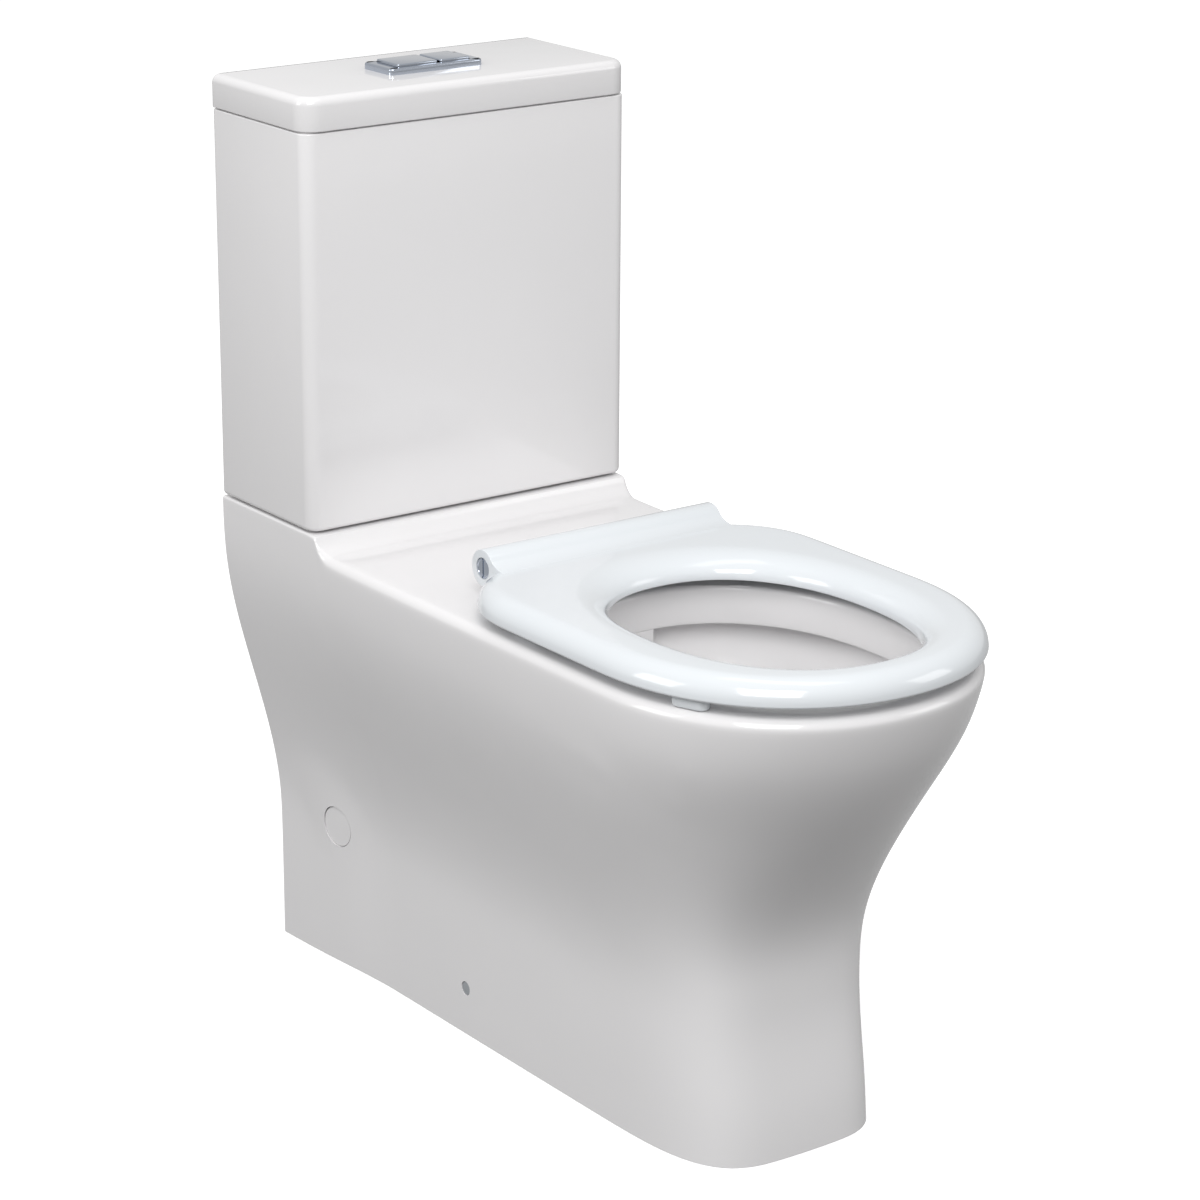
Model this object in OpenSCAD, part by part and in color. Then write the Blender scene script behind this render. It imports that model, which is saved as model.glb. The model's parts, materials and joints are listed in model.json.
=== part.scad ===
// Close-coupled back-to-wall toilet suite with an extended pan, a single-flap seat and a dual-flush cistern.
// Millimetres, +Z up, floor at z = 0. The front faces -Y and the wall is the plane y = projection / 2.
// Places along the pan are given as distances d from the wall, so y = wall_y - d.

/* [Pan] */
// Distance from the wall to the front edge of the seat
projection = 798; // [770:1:830]
// How far the pan's rim stops behind the front edge of the seat
rim_setback = 2; // [1:0.5:6]
// Width over the rim and the cistern shelf
pan_w = 354; // [346:1:370]
// Height of the rim and deck above the floor
deck_h = 446; // [430:1:460]
// Thickness of the skirt
skirt_wall = 12; // [10:0.5:14]
// Thickness of the deck and the cistern shelf
deck_t = 14; // [12:0.5:16]
// Radius of the deck's outer edge
rim_edge_r = 11; // [6:0.5:12]
// Length of the rounded nose, seen from above
nose_len = 192; // [180:1:205]

/* [Cistern shelf] */
// Height of the cistern shelf above the deck
shelf_rise = 17; // [12:0.5:22]
// Length of the shelf from the wall to its front edge
shelf_len = 163; // [162:0.5:172]
// Length of the hollow curve from the shelf down to the deck
shelf_cove = 28; // [22:1:36]

/* [Foot] */
// Width of the foot along most of its length
foot_w = 215; // [200:1:230]
// Width of the foot at the wall
foot_rear_w = 238; // [225:1:245]
// Length over which the foot narrows from the wall
foot_taper_len = 190; // [160:1:220]
// Distance from the wall to the front of the foot
foot_reach = 678; // [665:1:695]
// How far the front steps back between the foot and the waist
waist_in = 15; // [8:0.5:20]
// Height up to which the side stays upright
waist_h = 130; // [115:1:150]
// Height at which the front starts to lean out
lean_h = 170; // [155:1:190]

/* [Bowl] */
// Width of the bowl's mouth
mouth_w = 262; // [252:1:266]
// Distance from the wall to the back of the mouth
mouth_rear = 428; // [422:1:436]
// Width of the rim in front of the mouth
rim_front_w = 38; // [34:1:44]
// Height of the upright band inside the rim
rim_band_h = 36; // [32:1:40]
// Depth of the water channel under the band at the back
channel_in = 15; // [8:0.5:17]
// Width of the divider that parts the water at the back
divider_w = 26; // [20:1:34]
// Thickness of the bowl
bowl_wall = 10; // [8:0.5:11]
// Width of the sump at the water line
sump_w = 104; // [94:1:112]
// Distance from the wall to the front of the sump
sump_front = 560; // [550:1:575]
// Height of the sump's floor
sump_floor_h = 106; // [98:1:114]
// Height at which the bowl opens out of the sump
sump_top_h = 165; // [155:1:175]

/* [Trap and outlet] */
// Height of the middle of the outlet spigot
outlet_h = 185; // [175:1:195]
// Outside diameter of the outlet spigot
outlet_od = 102; // [98:1:106]
// Bore of the outlet spigot
outlet_bore = 88; // [82:1:90]
// Distance from the wall to the end of the spigot
outlet_recess = 60; // [50:1:75]
// Bore of the trapway
trap_bore = 54; // [50:1:56]
// Wall of the trapway
trap_wall = 9; // [8:0.5:11]
// Height of the middle of the trapway at its inlet from the sump
trap_inlet_h = 150; // [147:1:153]
// Height of the middle of the trapway at its crown
trap_crown_h = 256; // [248:1:262]

/* [Flush duct] */
// Width of the water duct under the deck
duct_w = 96; // [86:1:104]
// Height of the water duct under the deck
duct_h = 22; // [18:1:24]
// Wall of the water duct
duct_wall = 8; // [7:0.5:10]
// Diameter of the flush inlet in the shelf
flush_inlet_d = 92; // [90:0.5:96]

/* [Side fixings] */
// Diameter of the round access cap in each side
side_cap_d = 41; // [36:0.5:46]
// Distance from the wall to the middle of the access cap
side_cap_from_wall = 97; // [88:1:106]
// Height of the middle of the access cap
side_cap_h = 143; // [134:1:150]
// Diameter of the floor fixing hole in each side
fix_hole_d = 16; // [14:0.5:18]
// Distance from the wall to the floor fixing hole
fix_from_wall = 304; // [290:1:320]
// Height of the floor fixing hole
fix_h = 46; // [42:1:52]

/* [Cistern] */
// How far the cistern stands out past the shelf at each side
tank_side = 1; // [0:0.5:3]
// Depth of the cistern from the wall
tank_d = 161; // [155:0.5:162]
// Height of the cistern body
tank_h = 370; // [350:1:390]
// Wall of the cistern
tank_wall = 10; // [8:0.5:12]
// Thickness of the cistern's floor
tank_floor = 13; // [11:0.5:15]
// Gap between the cistern and its shelf
shelf_gap = 2; // [1.5:0.5:3]
// Radius of the cistern's front corners
tank_corner_r = 20; // [14:0.5:26]
// Radius of the cistern's rear corners
tank_rear_r = 6; // [4:0.5:9]
// Height of the lid
lid_h = 31; // [28:0.5:36]
// How far the lid stands proud of the body at each side
lid_side = 1; // [0.5:0.5:3]
// How far the lid stands proud of the body at the front
lid_front = 2; // [1:0.5:5]
// Joint between the lid and the body
lid_gap = 0.3; // [0.2:0.1:0.6]
// Radius of the lid's upper edge
lid_edge_r = 8; // [5:0.5:11]
// Thickness of the lid
lid_t = 8; // [7:0.5:10]

/* [Flush buttons] */
// Width of the button plate
plate_w = 102; // [98:1:106]
// Depth of the button plate
plate_d = 48; // [45:1:52]
// Height of the plate above the lid
plate_t = 6; // [5:0.5:7]
// Distance from the wall to the middle of the plate
plate_from_wall = 84; // [80:1:88]
// Width of the full-flush button
full_button_w = 44; // [41:0.5:46]
// Width of the half-flush button
half_button_w = 33; // [31:0.5:34]
// Depth of both buttons
button_d = 37; // [34:0.5:39]
// Gap between the two buttons
button_gap = 3; // [2:0.5:4]
// How far the buttons stand proud of the plate
button_proud = 2.5; // [2:0.5:4]
// Travel of a button
button_travel = 3; // [2.5:0.1:3.2]
// Clearance round a button
button_clear = 0.5; // [0.4:0.05:0.7]
// Outside diameter of the threaded sleeve through the lid
sleeve_d = 40; // [38:0.5:43]
// Diameter of a push rod
rod_d = 5; // [4:0.5:5]

/* [Seat] */
// How far the seat stands out past the rim at each side
seat_side = 0; // [-3:0.5:3]
// Thickness of the seat
seat_t = 22.5; // [21:0.5:25]
// Gap between the seat and the deck
seat_gap = 10.5; // [8.5:0.5:11.5]
// Width of the seat's opening
seat_open_w = 227; // [220:1:236]
// Distance from the wall to the back of the seat's opening
seat_open_rear = 450; // [444:1:456]
// Width of the seat in front of the opening
seat_front_w = 48; // [42:1:52]
// Radius of the seat's rear corners, seen from above
seat_corner_r = 98; // [84:1:106]
// Length of one buffer
buffer_len = 40; // [34:1:46]
// Width of one buffer
buffer_w = 15; // [12:0.5:18]

/* [Hinge] */
// Length of the hinge barrel
barrel_len = 254; // [244:1:262]
// Diameter of the hinge barrel
barrel_d = 34; // [32:0.5:36]
// Distance from the wall to the hinge axis
hinge_from_wall = 363.5; // [358:0.5:368]
// Height of the hinge axis above the deck
hinge_rise = 29.5; // [28.5:0.5:31]
// Distance between the two hinge posts
hinge_spacing = 155; // [145:1:165]
// Diameter of the hinge pin
pin_d = 10; // [8:0.5:11]
// Diameter of the slotted head of the hinge pin
pin_head_d = 19; // [16:0.5:20]
// Width of a hinge post
post_w = 22; // [18:0.5:25]
// Running clearance of the hinge, on the radius
pin_clear = 0.05; // [0.02:0.01:0.1]
// Opening angle of the seat
seat_open_angle = 112; // [100:1:113]

/* [Cistern fittings] */
// Distance between the two cistern bolts
bolt_spacing = 156; // [150:1:164]
// Diameter of the cistern bolts and hinge studs
bolt_d = 8; // [7:0.5:9]
// Outside diameter of the inlet valve's threaded tail
inlet_tail_d = 21; // [19:0.5:22]
// Diameter of the inlet float
float_d = 68; // [62:1:72]
// Room between the inlet float and the cistern's side
float_clear = 4; // [3:0.5:6]
// Height of the inlet float
float_h = 62; // [54:1:68]
// Fall of the inlet float as the cistern empties
float_travel = 12; // [10:0.5:13]
// Outside diameter of the flush valve's threaded shank
valve_shank_d = 62; // [58:0.5:64]
// Outside diameter of the overflow tube
overflow_d = 28; // [25:0.5:30]
// Height of the flush valve's body above the cistern floor
valve_h = 228; // [215:1:235]

/* [Hidden] */
$fn = 48;

SIDES = [-1, 1];
PORCELAIN = "#eceae8";
SEAT_WHITE = "#eef3f6";
CHROME = "#b9bdc2";
STEEL = "#a8adb0";
VALVE_WHITE = "#dfe3e4";
VALVE_BLUE = "#3d6fa5";
RUBBER = "#3a3b3c";
GREY_PLASTIC = "#9aa0a4";
BRASS = "#b8964e";

wall_y = projection / 2;
tank_w = pan_w + 2 * tank_side;
seat_w = pan_w + 2 * seat_side;
rim_reach = projection - rim_setback;
shelf_h = deck_h + shelf_rise;
cove_end = shelf_len + shelf_cove;
rim_level = deck_h - rim_edge_r;
mouth_front = rim_reach - rim_front_w;
mouth_mid = (mouth_rear + mouth_front) / 2;
band_low = deck_h - rim_band_h;
sump_rear = mouth_rear + 28;
tank_z = shelf_h + shelf_gap;
tank_top = tank_z + tank_h;
lid_z = tank_top + lid_gap;
lid_top = lid_z + lid_h;
floor_in = tank_z + tank_floor;
valve_d = plate_from_wall;
hinge_z = deck_h + hinge_rise;
seat_z = deck_h + seat_gap;
seat_top = seat_z + seat_t;
seat_mid_d = 610;
seat_rear = hinge_from_wall - 4.5;
roof_h = deck_h - deck_t;
shelf_under = shelf_h - deck_t;
duct_z = band_low - 5;
trap_r = trap_bore / 2 + trap_wall;
plate_top = lid_top + plate_t;
button_z = lid_top + 1.2 + 0.4 + button_travel;
inlet_x = tank_w / 2 - tank_wall - float_d / 2 - float_clear;
inlet_shank_d = inlet_tail_d + 2;
inlet_nut_t = 9;
web_from_wall = 136;
web_t = 12;
lever_z = floor_in + 272;
lever_arm = 9.5;
lever_side = 6.5;
lever_ratio = 2;
contact = 0.3;

function smooth(t) = let (u = min(1, max(0, t))) u * u * (3 - 2 * u);
function mix(a, b, t) = a + (b - a) * t;
function sq(v, n) = sign(v) * pow(abs(v), 2 / n);

module at(d, z, x = 0) {
    translate([x, wall_y - d, z]) children();
}

module tube(z0, z1, r_out, r_in) {
    difference() {
        translate([0, 0, z0]) cylinder(h = z1 - z0, r = r_out);
        translate([0, 0, z0 - 1]) cylinder(h = z1 - z0 + 2, r = r_in);
    }
}

// Turns its children so that +Z lies along +X
module along_x() {
    rotate([0, 90, 0]) children();
}

// ---------------------------------------------------------------- skins from rings of points

// Two triangles for each cell between row a and row b, n points each
function cells(a, b, n, closed = false) =
    [for (i = [0 : closed ? n - 1 : n - 2]) let (k = (i + 1) % n)
        each [[a + i, b + i, b + k], [a + i, b + k, a + k]]];
// The same cells with their faces turned round
function turned(faces) = [for (f = faces) [for (k = [len(f) - 1 : -1 : 0]) f[k]]];
function flat(lists) = [for (l = lists) each l];

// A closed skin through a stack of closed rings, the lowest first, each run anticlockwise from above
module loft(rings) {
    n = len(rings[0]);
    m = len(rings);
    polyhedron(
        points = flat(rings),
        faces = concat(
            [[for (i = [0 : n - 1]) i]],
            flat([for (k = [0 : m - 2]) cells(k * n, (k + 1) * n, n, true)]),
            [[for (i = [n - 1 : -1 : 0]) (m - 1) * n + i]]));
}

// A rectangle from d0 to d1 with round corners, run anticlockwise from above
function round_rect(w, d0, d1, r_rear, r_front, z, mid = 0, steps = 6) =
    let (corner = function (x, d, r, start)
            [for (i = [0 : steps]) let (a = start + 90 * i / steps)
                [mid + x + r * cos(a), wall_y - d + r * sin(a), z]])
    concat(corner(w / 2 - r_rear, d0 + r_rear, r_rear, 0),
           corner(-w / 2 + r_rear, d0 + r_rear, r_rear, 90),
           corner(-w / 2 + r_front, d1 - r_front, r_front, 180),
           corner(w / 2 - r_front, d1 - r_front, r_front, 270));
// The same outline as an upright prism
module prism(w, d0, d1, r, z0, z1, mid = 0) {
    ring = round_rect(w, d0, d1, r, r, 0, mid);
    translate([0, 0, z0]) linear_extrude(z1 - z0) polygon([for (p = ring) [p[0], p[1]]]);
}

// ---------------------------------------------------------------- pan

// Half width of the skirt at height z and distance d
function foot_half(d) = mix(foot_rear_w, foot_w, smooth(d / foot_taper_len)) / 2;
function side_half(z, d) = mix(foot_half(d), pan_w / 2, smooth((z - waist_h) / (rim_level - waist_h)));
// Distance of the skirt's front from the wall at height z
function waist_reach(z) = foot_reach - waist_in * smooth(z / waist_h);
function front_reach(z) = mix(waist_reach(z), rim_reach, smooth((z - lean_h) / (rim_level + 12 - lean_h))
                              / smooth((rim_level - lean_h) / (rim_level + 12 - lean_h)));
// The nose turns from a blunt foot to a round rim
nose_low_n = 4;
nose_rim_n = 2.12;
nose_turn_low = waist_h - 20;
nose_turn_high = deck_h - 86;
function nose_n(z) = mix(nose_low_n, nose_rim_n,
                         smooth((z - nose_turn_low) / (nose_turn_high - nose_turn_low)));
// Height of the pan's top at distance d: the shelf, its hollow curve, then the deck
function cove(d) = shelf_rise * (1 - sqrt(max(0, 1 - pow((cove_end - d) / shelf_cove, 2))));
function top_z(d) = d <= shelf_len - 3 ? shelf_h : d < shelf_len + 1.5 ? shelf_h - 1.5
                  : d < cove_end ? deck_h + cove(d) : deck_h;

// Columns of points: stations along the right side, then round the nose, then back along the left side
SHELF_STATIONS = [0, 0.3, 0.6, 0.85];
COVE_STATIONS = [0.02, 0.14, 0.34, 0.62, 1];
SIDE_STATIONS = [0.14, 0.32, 0.5, 0.66, 0.84, 1];
NOSE_STEPS = 11;
fixed_stations = concat([for (k = SHELF_STATIONS) k * shelf_len], [shelf_len - 3, shelf_len],
                        [for (k = COVE_STATIONS) shelf_len + k * shelf_cove]);
side_count = len(fixed_stations) + len(SIDE_STATIONS);
column_count = 2 * side_count + 2 * NOSE_STEPS - 1;
// The last column behind the bowl
bridge = len(fixed_stations) + 2;

// One point of the skirt in plan, [x, d], moved inwards by inset
function station_d(j, z) =
    j < len(fixed_stations) ? fixed_stations[j]
    : mix(cove_end, front_reach(z) - nose_len, SIDE_STATIONS[j - len(fixed_stations)]);
function half_plan(j, z, inset) =
    j < side_count
    ? let (d = station_d(j, z)) [side_half(z, d) - inset, d]
    : let (a = 90 * (j - side_count + 1) / NOSE_STEPS, n = nose_n(z), start = front_reach(z) - nose_len)
      [(side_half(z, start) - inset) * sq(cos(a), n), start + (nose_len - inset) * sq(sin(a), n)];
function plan(i, z, inset) =
    let (last = side_count + NOSE_STEPS - 1)
    i <= last ? half_plan(i, z, inset) : let (p = half_plan(column_count - 1 - i, z, inset)) [-p[0], p[1]];
function place(p, z) = [p[0], wall_y - p[1], z];

// Rows of the outer skin as parts of the height below the edge radius, then round that edge
OUTER_LEVELS = [0, 0.09, 0.18, 0.27, 0.34, 0.41, 0.48, 0.55, 0.62, 0.69, 0.76, 0.83, 0.91, 1];
EDGE_ANGLES = [22.5, 45, 67.5, 90];
function edge_r(d) = mix(3, rim_edge_r, smooth((d - shelf_len + 4) / shelf_cove));
function outer_row(level) = [for (i = [0 : column_count - 1])
    let (d = plan(i, rim_level, 0)[1], z = level * (top_z(d) - edge_r(d)))
    place(plan(i, min(z, rim_level), 0), z)];
function edge_row(a) = [for (i = [0 : column_count - 1])
    let (d = plan(i, rim_level, 0)[1], r = edge_r(d))
    place(plan(i, rim_level, r * (1 - cos(a))), top_z(d) - r * (1 - sin(a)))];
outer_rows = concat([for (l = OUTER_LEVELS) outer_row(l)], [for (a = EDGE_ANGLES) edge_row(a)]);

// The mouth and the bowl: rings of [half width, back, front, height]
REAR_STEPS = 9;
mouth_columns = [bridge + 1 : column_count - 2 - bridge];
ring_count = column_count - 2 - 2 * bridge + REAR_STEPS;
// Angle of each ring point, 0 at the back and clockwise from above, the front and side columns first
mouth_turn = 38;
function ring_angle(k) =
    let (n = column_count - 2 - 2 * bridge)
    k < n ? mouth_turn + (360 - 2 * mouth_turn) * k / (n - 1)
          : 360 - mouth_turn + 2 * mouth_turn * (k - n + 1) / (REAR_STEPS + 1);
function mouth_ring(half, back, front, z, bulge = 0) =
    let (mid = (back + front) / 2, reach = (front - back) / 2)
    [for (k = [0 : ring_count - 1])
        let (a = ring_angle(k), turn = a > 180 ? 360 - a : a, b = bulge * (1 - smooth((turn - 55) / 60)))
        [(half + b) * sq(sin(a), 2.2), wall_y - mid + (reach + (cos(a) > 0 ? b : 0)) * sq(cos(a), 2.2), z]];

lip_r = 6;
bowl_front_top = mouth_front;
function swell(t) = (t + sin(90 * t)) / 2;
// The bowl's inner skin at height z, from the sump to the underside of the band
function bowl_t(z) = (z - sump_top_h) / (band_low - 3 - sump_top_h);
function bowl_half(z) = mix(sump_w / 2, mouth_w / 2 + 4, sin(90 * bowl_t(z)));
function bowl_back(z) = mix(sump_rear, mouth_rear - 2, bowl_t(z));
function bowl_front(z) = mix(sump_front, bowl_front_top, swell(bowl_t(z)));
function bowl_ring(z, out = 0, bulge = 0) =
    mouth_ring(bowl_half(z) + out, bowl_back(z) - out, bowl_front(z) + out, z, bulge);
BOWL_LEVELS = [0.9, 0.78, 0.64, 0.5, 0.36, 0.24, 0.13, 0.05];
function bowl_z(t) = mix(sump_top_h, band_low - 3, t);
SUMP_LEVELS = [[0.55, 0.94], [0.15, 0.8], [0.03, 0.6], [0, 0.3]];
function sump_ring(z, share, out = 0) =
    let (mid = (sump_rear + sump_front) / 2,
         reach = (sump_front - sump_rear) / 2 * (0.35 + 0.65 * share) + out)
    mouth_ring(sump_w / 2 * share + out, mid - reach, mid + reach, z);
function sump_z(t) = mix(sump_floor_h, sump_top_h, t);
bowl_rows = concat(
    [mouth_ring(mouth_w / 2 + lip_r, mouth_rear - lip_r, mouth_front + lip_r, deck_h),
     mouth_ring(mouth_w / 2 + 0.3 * lip_r, mouth_rear - 0.3 * lip_r, mouth_front + 0.3 * lip_r,
                deck_h - 0.3 * lip_r),
     mouth_ring(mouth_w / 2, mouth_rear, mouth_front, deck_h - lip_r),
     mouth_ring(mouth_w / 2, mouth_rear, mouth_front, band_low + 2),
     mouth_ring(mouth_w / 2 + 0.7, mouth_rear - 0.7, mouth_front - 0.3, band_low),
     bowl_ring(band_low - 1, 0, channel_in - 2),
     bowl_ring(band_low - 10, 0, channel_in)],
    [for (t = BOWL_LEVELS) bowl_ring(bowl_z(t), 0, channel_in * smooth((t - 0.72) / 0.2))],
    [mouth_ring(sump_w / 2, sump_rear, sump_front, sump_top_h)],
    [for (s = SUMP_LEVELS) sump_ring(sump_z(s[0]), s[1])]);

// The hollow under the deck, with a flat roof that follows the deck and the shelf
function roof_z(i) =
    let (d = plan(i, rim_level, 0)[1]) min(top_z(d), top_z(d + 14)) - deck_t;
HOLLOW_LEVELS = [0, 0.3, 0.4, 0.5, 0.6, 0.7, 0.8, 0.9, 1];
function hollow_row(level) = [for (i = [0 : column_count - 1])
    let (z = level * roof_z(i)) place(plan(i, min(z, rim_level), skirt_wall), z)];
hollow_rows = [for (l = HOLLOW_LEVELS) hollow_row(l)];
UNDER_LEVELS = [0.96, 0.84, 0.74, 0.6, 0.45, 0.3, 0.15];
sump_wall = 20;
function under_ring(z, bulge) = bowl_ring(z, bowl_wall, bulge);
under_rows = concat(
    [under_ring(roof_h, channel_in)],
    [for (t = UNDER_LEVELS) under_ring(bowl_z(t), channel_in * smooth((t - 0.72) / 0.2))],
    [mouth_ring(sump_w / 2 + sump_wall, sump_rear - sump_wall, sump_front + sump_wall, sump_top_h - 5)],
    [for (s = SUMP_LEVELS) sump_ring(sump_z(s[0]) - bowl_wall - 2, s[1], sump_wall)]);

// Faces of the deck or of its underside: c points run round the pan at row, g points round the mouth at ring
function deck_faces(row, ring) =
    let (last = column_count - 1, n = last - 1 - 2 * bridge, far = row + last - bridge, near = row + bridge,
         middle = floor(REAR_STEPS / 2))
    concat(
        flat([for (j = [0 : bridge - 1])
            [[row + j, row + last - j, row + last - j - 1], [row + j, row + last - j - 1, row + j + 1]]]),
        flat([for (k = [0 : n - 2]) let (a = near + 1 + k, b = ring + k)
            k < n / 2 ? [[a, b, b + 1], [a, b + 1, a + 1]] : [[a, b, a + 1], [b, b + 1, a + 1]]]),
        [[near, far, ring + n + middle], [near, ring, near + 1], [far, far - 1, ring + n - 1],
         [far, ring + n - 1, ring + n], [near, ring + n + REAR_STEPS - 1, ring]],
        [for (k = [0 : middle - 1]) [far, ring + n + k, ring + n + k + 1]],
        [for (k = [middle : REAR_STEPS - 2]) [near, ring + n + k, ring + n + k + 1]]);

// The face at the wall between the outer and the inner skin on column i, as a strip of triangles.
// mate(k) is the highest hollow row that isn't above outer row k.
function mate(k) = len([for (l = HOLLOW_LEVELS) if (k >= len(OUTER_LEVELS) || l <= OUTER_LEVELS[k]) l]) - 1;
function wall_face(outer0, hollow0, i) = [for (k = [0 : len(outer_rows) - 2])
    let (a = outer0 + k * column_count + i, b = a + column_count, m = mate(k), t = mate(k + 1))
    each concat([[a, b, hollow0 + m * column_count + i]],
                [for (q = [m : 1 : t - 1]) let (c = hollow0 + q * column_count + i)
                    [b, c + column_count, c]])];

// The pan's skin without its bores: skirt, deck, bowl and the hollow behind them, open below and at the wall
module pan_shell() {
    c = column_count;
    g = ring_count;
    bowl0 = c * len(outer_rows);
    hollow0 = bowl0 + g * len(bowl_rows);
    under0 = hollow0 + c * len(hollow_rows);
    top = c * (len(outer_rows) - 1);
    roof = hollow0 + c * (len(hollow_rows) - 1);
    bowl_end = bowl0 + g * (len(bowl_rows) - 1);
    under_end = under0 + g * (len(under_rows) - 1);
    skin = concat(
        flat([for (k = [0 : len(outer_rows) - 2]) cells(k * c, (k + 1) * c, c)]),
        deck_faces(top, bowl0),
        flat([for (k = [0 : len(bowl_rows) - 2]) cells(bowl0 + k * g, bowl0 + (k + 1) * g, g, true)]),
        [[for (i = [g - 1 : -1 : 0]) bowl_end + i]],
        turned(flat([for (k = [0 : len(hollow_rows) - 2]) cells(hollow0 + k * c, hollow0 + (k + 1) * c, c)])),
        turned(deck_faces(roof, under0)),
        turned(flat([for (k = [0 : len(under_rows) - 2])
            cells(under0 + k * g, under0 + (k + 1) * g, g, true)])),
        [[for (i = [0 : g - 1]) under_end + i]],
        turned(cells(0, hollow0, c)),
        turned(wall_face(0, hollow0, 0)),
        wall_face(0, hollow0, c - 1),
        [[top, roof, roof + c - 1, top + c - 1]]);
    polyhedron(points = concat(flat(outer_rows), flat(bowl_rows), flat(hollow_rows), flat(under_rows)),
               faces = turned(skin));
}

// Places its children on both sides of the skirt with +Z pointing straight out of it
module on_side(d, z) {
    lean = atan((side_half(z + 5, d) - side_half(z - 5, d)) / 10);
    toe = atan((side_half(z, d + 5) - side_half(z, d - 5)) / 10);
    for (s = SIDES) scale([s, 1, 1]) at(d, z, side_half(z, d)) rotate([0, 90 + lean, toe]) children();
}

module pan() {
    color(PORCELAIN) difference() {
        pan_shell();
        along_y(sump_rear + 44, trap_inlet_h) cylinder(h = 70, d = trap_bore);
        at(mouth_rear - 9, duct_z, -duct_w / 2) cube([duct_w, 45, duct_h]);
        at(valve_d, shelf_under - 20) cylinder(h = 60, d = flush_inlet_d);
        for (s = SIDES) {
            at(valve_d, shelf_under - 20, s * bolt_spacing / 2) cylinder(h = 60, d = bolt_d + 3);
            at(hinge_from_wall, roof_h - 20, s * hinge_spacing / 2) cylinder(h = 60, d = bolt_d + 2);
        }
        at(valve_d, shelf_under - 20, -inlet_x) cylinder(h = 60, r = 20);
        on_side(side_cap_from_wall, side_cap_h) translate([0, 0, -30]) cylinder(h = 45, d = side_cap_d);
        at(fix_from_wall, fix_h, -pan_w / 2) along_x() cylinder(h = pan_w, d = fix_hole_d);
    }
}

// ---------------------------------------------------------------- waterways under the pan

// Turns its children so that +Z runs from distance d and height z straight to the wall
module along_y(d, z) {
    at(d, z) rotate([-90, 0, 0]) children();
}

module water_duct() {
    w = duct_w + 2 * duct_wall;
    inner_d = mouth_rear - channel_in - 3;
    rear_d = valve_d - flush_inlet_d / 2 - duct_wall;
    color(PORCELAIN) difference() {
        union() {
            at(inner_d, duct_z - duct_wall, -w / 2) cube([w, inner_d - rear_d, duct_h + 2 * duct_wall]);
            at(mouth_rear + 0.3, band_low - 28, -divider_w / 2) cube([divider_w, channel_in + 20, 27.8]);
            at(valve_d, roof_h - 4) cylinder(h = shelf_under - roof_h + 4, r = flush_inlet_d / 2 + duct_wall);
        }
        at(inner_d - 24, duct_z, -duct_w / 2) cube([duct_w, inner_d - 24 - rear_d - duct_wall, duct_h]);
        for (s = SIDES) at(inner_d + 1, duct_z, s > 0 ? divider_w / 2 : -duct_w / 2)
            cube([(duct_w - divider_w) / 2, 30, duct_h]);
        at(valve_d, duct_z + 12) cylinder(h = 60, d = flush_inlet_d);
    }
}

// The trapway rises from the sump at one angle and falls from its crown at another
RISE = 60;
FALL = 50;
bend_r = 50;
crown_r = 42;
trap_start = sump_rear - 3;
rise_z = trap_inlet_h + bend_r * (1 - cos(RISE));
rise_len = (trap_crown_h - crown_r * (1 - cos(RISE)) - rise_z) / sin(RISE);
crown_start = trap_start - bend_r * sin(RISE) - rise_len * cos(RISE);
crown_end = crown_start - crown_r * (sin(RISE) + sin(FALL));
fall_z = trap_crown_h - crown_r * (1 - cos(FALL));
fall_len = (fall_z - outlet_h - bend_r * (1 - cos(FALL))) / sin(FALL);
drop_end = crown_end - fall_len * cos(FALL) - bend_r * sin(FALL);
// Places along the middle of the trapway: [distance, height, angle upwards]
trap_path = concat(
    [for (a = [0 : 12 : RISE]) [trap_start - bend_r * sin(a), trap_inlet_h + bend_r * (1 - cos(a)), a]],
    [for (a = [RISE : -10 : -FALL])
        [crown_start - crown_r * (sin(RISE) - sin(a)), trap_crown_h - crown_r * (1 - cos(a)), a]],
    [for (a = [-FALL : 10 : 0]) [drop_end - bend_r * sin(a), outlet_h + bend_r * (1 - cos(a)), a]],
    [[drop_end - 12, outlet_h, 0]]);
TRAP_SIDES = 24;
function trap_ring(p, r) = [for (i = [0 : TRAP_SIDES - 1]) let (t = 360 * i / TRAP_SIDES, v = -r * sin(t))
    [r * cos(t), wall_y - p[0] - v * sin(p[2]), p[1] + v * cos(p[2])]];

module trapway() {
    m = len(trap_path);
    n = TRAP_SIDES;
    rows = concat([for (p = trap_path) trap_ring(p, trap_r)],
                  [for (k = [m - 1 : -1 : 0]) trap_ring(trap_path[k], trap_bore / 2)]);
    color(PORCELAIN) polyhedron(
        points = flat(rows),
        faces = flat([for (k = [0 : 2 * m - 1]) cells(k * n, (k + 1) % (2 * m) * n, n, true)]));
}

// The web under the spigot is let into the skirt at both ends
web_half = foot_half(web_from_wall) - 1.2;

module outlet_spigot() {
    color(PORCELAIN) difference() {
        union() {
            along_y(drop_end + 2, outlet_h)
                cylinder(h = drop_end + 2 - web_from_wall + web_t + 6, d = outlet_od - 4);
            along_y(web_from_wall - web_t, outlet_h)
                cylinder(h = web_from_wall - web_t - outlet_recess, d = outlet_od);
            at(web_from_wall, outlet_h - 65, -web_half) cube([2 * web_half, web_t, 80]);
        }
        along_y(drop_end + 10, outlet_h) cylinder(h = 40, r = trap_r - 0.5);
        along_y(drop_end - 10, outlet_h) cylinder(h = drop_end, d = outlet_bore);
    }
}

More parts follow.
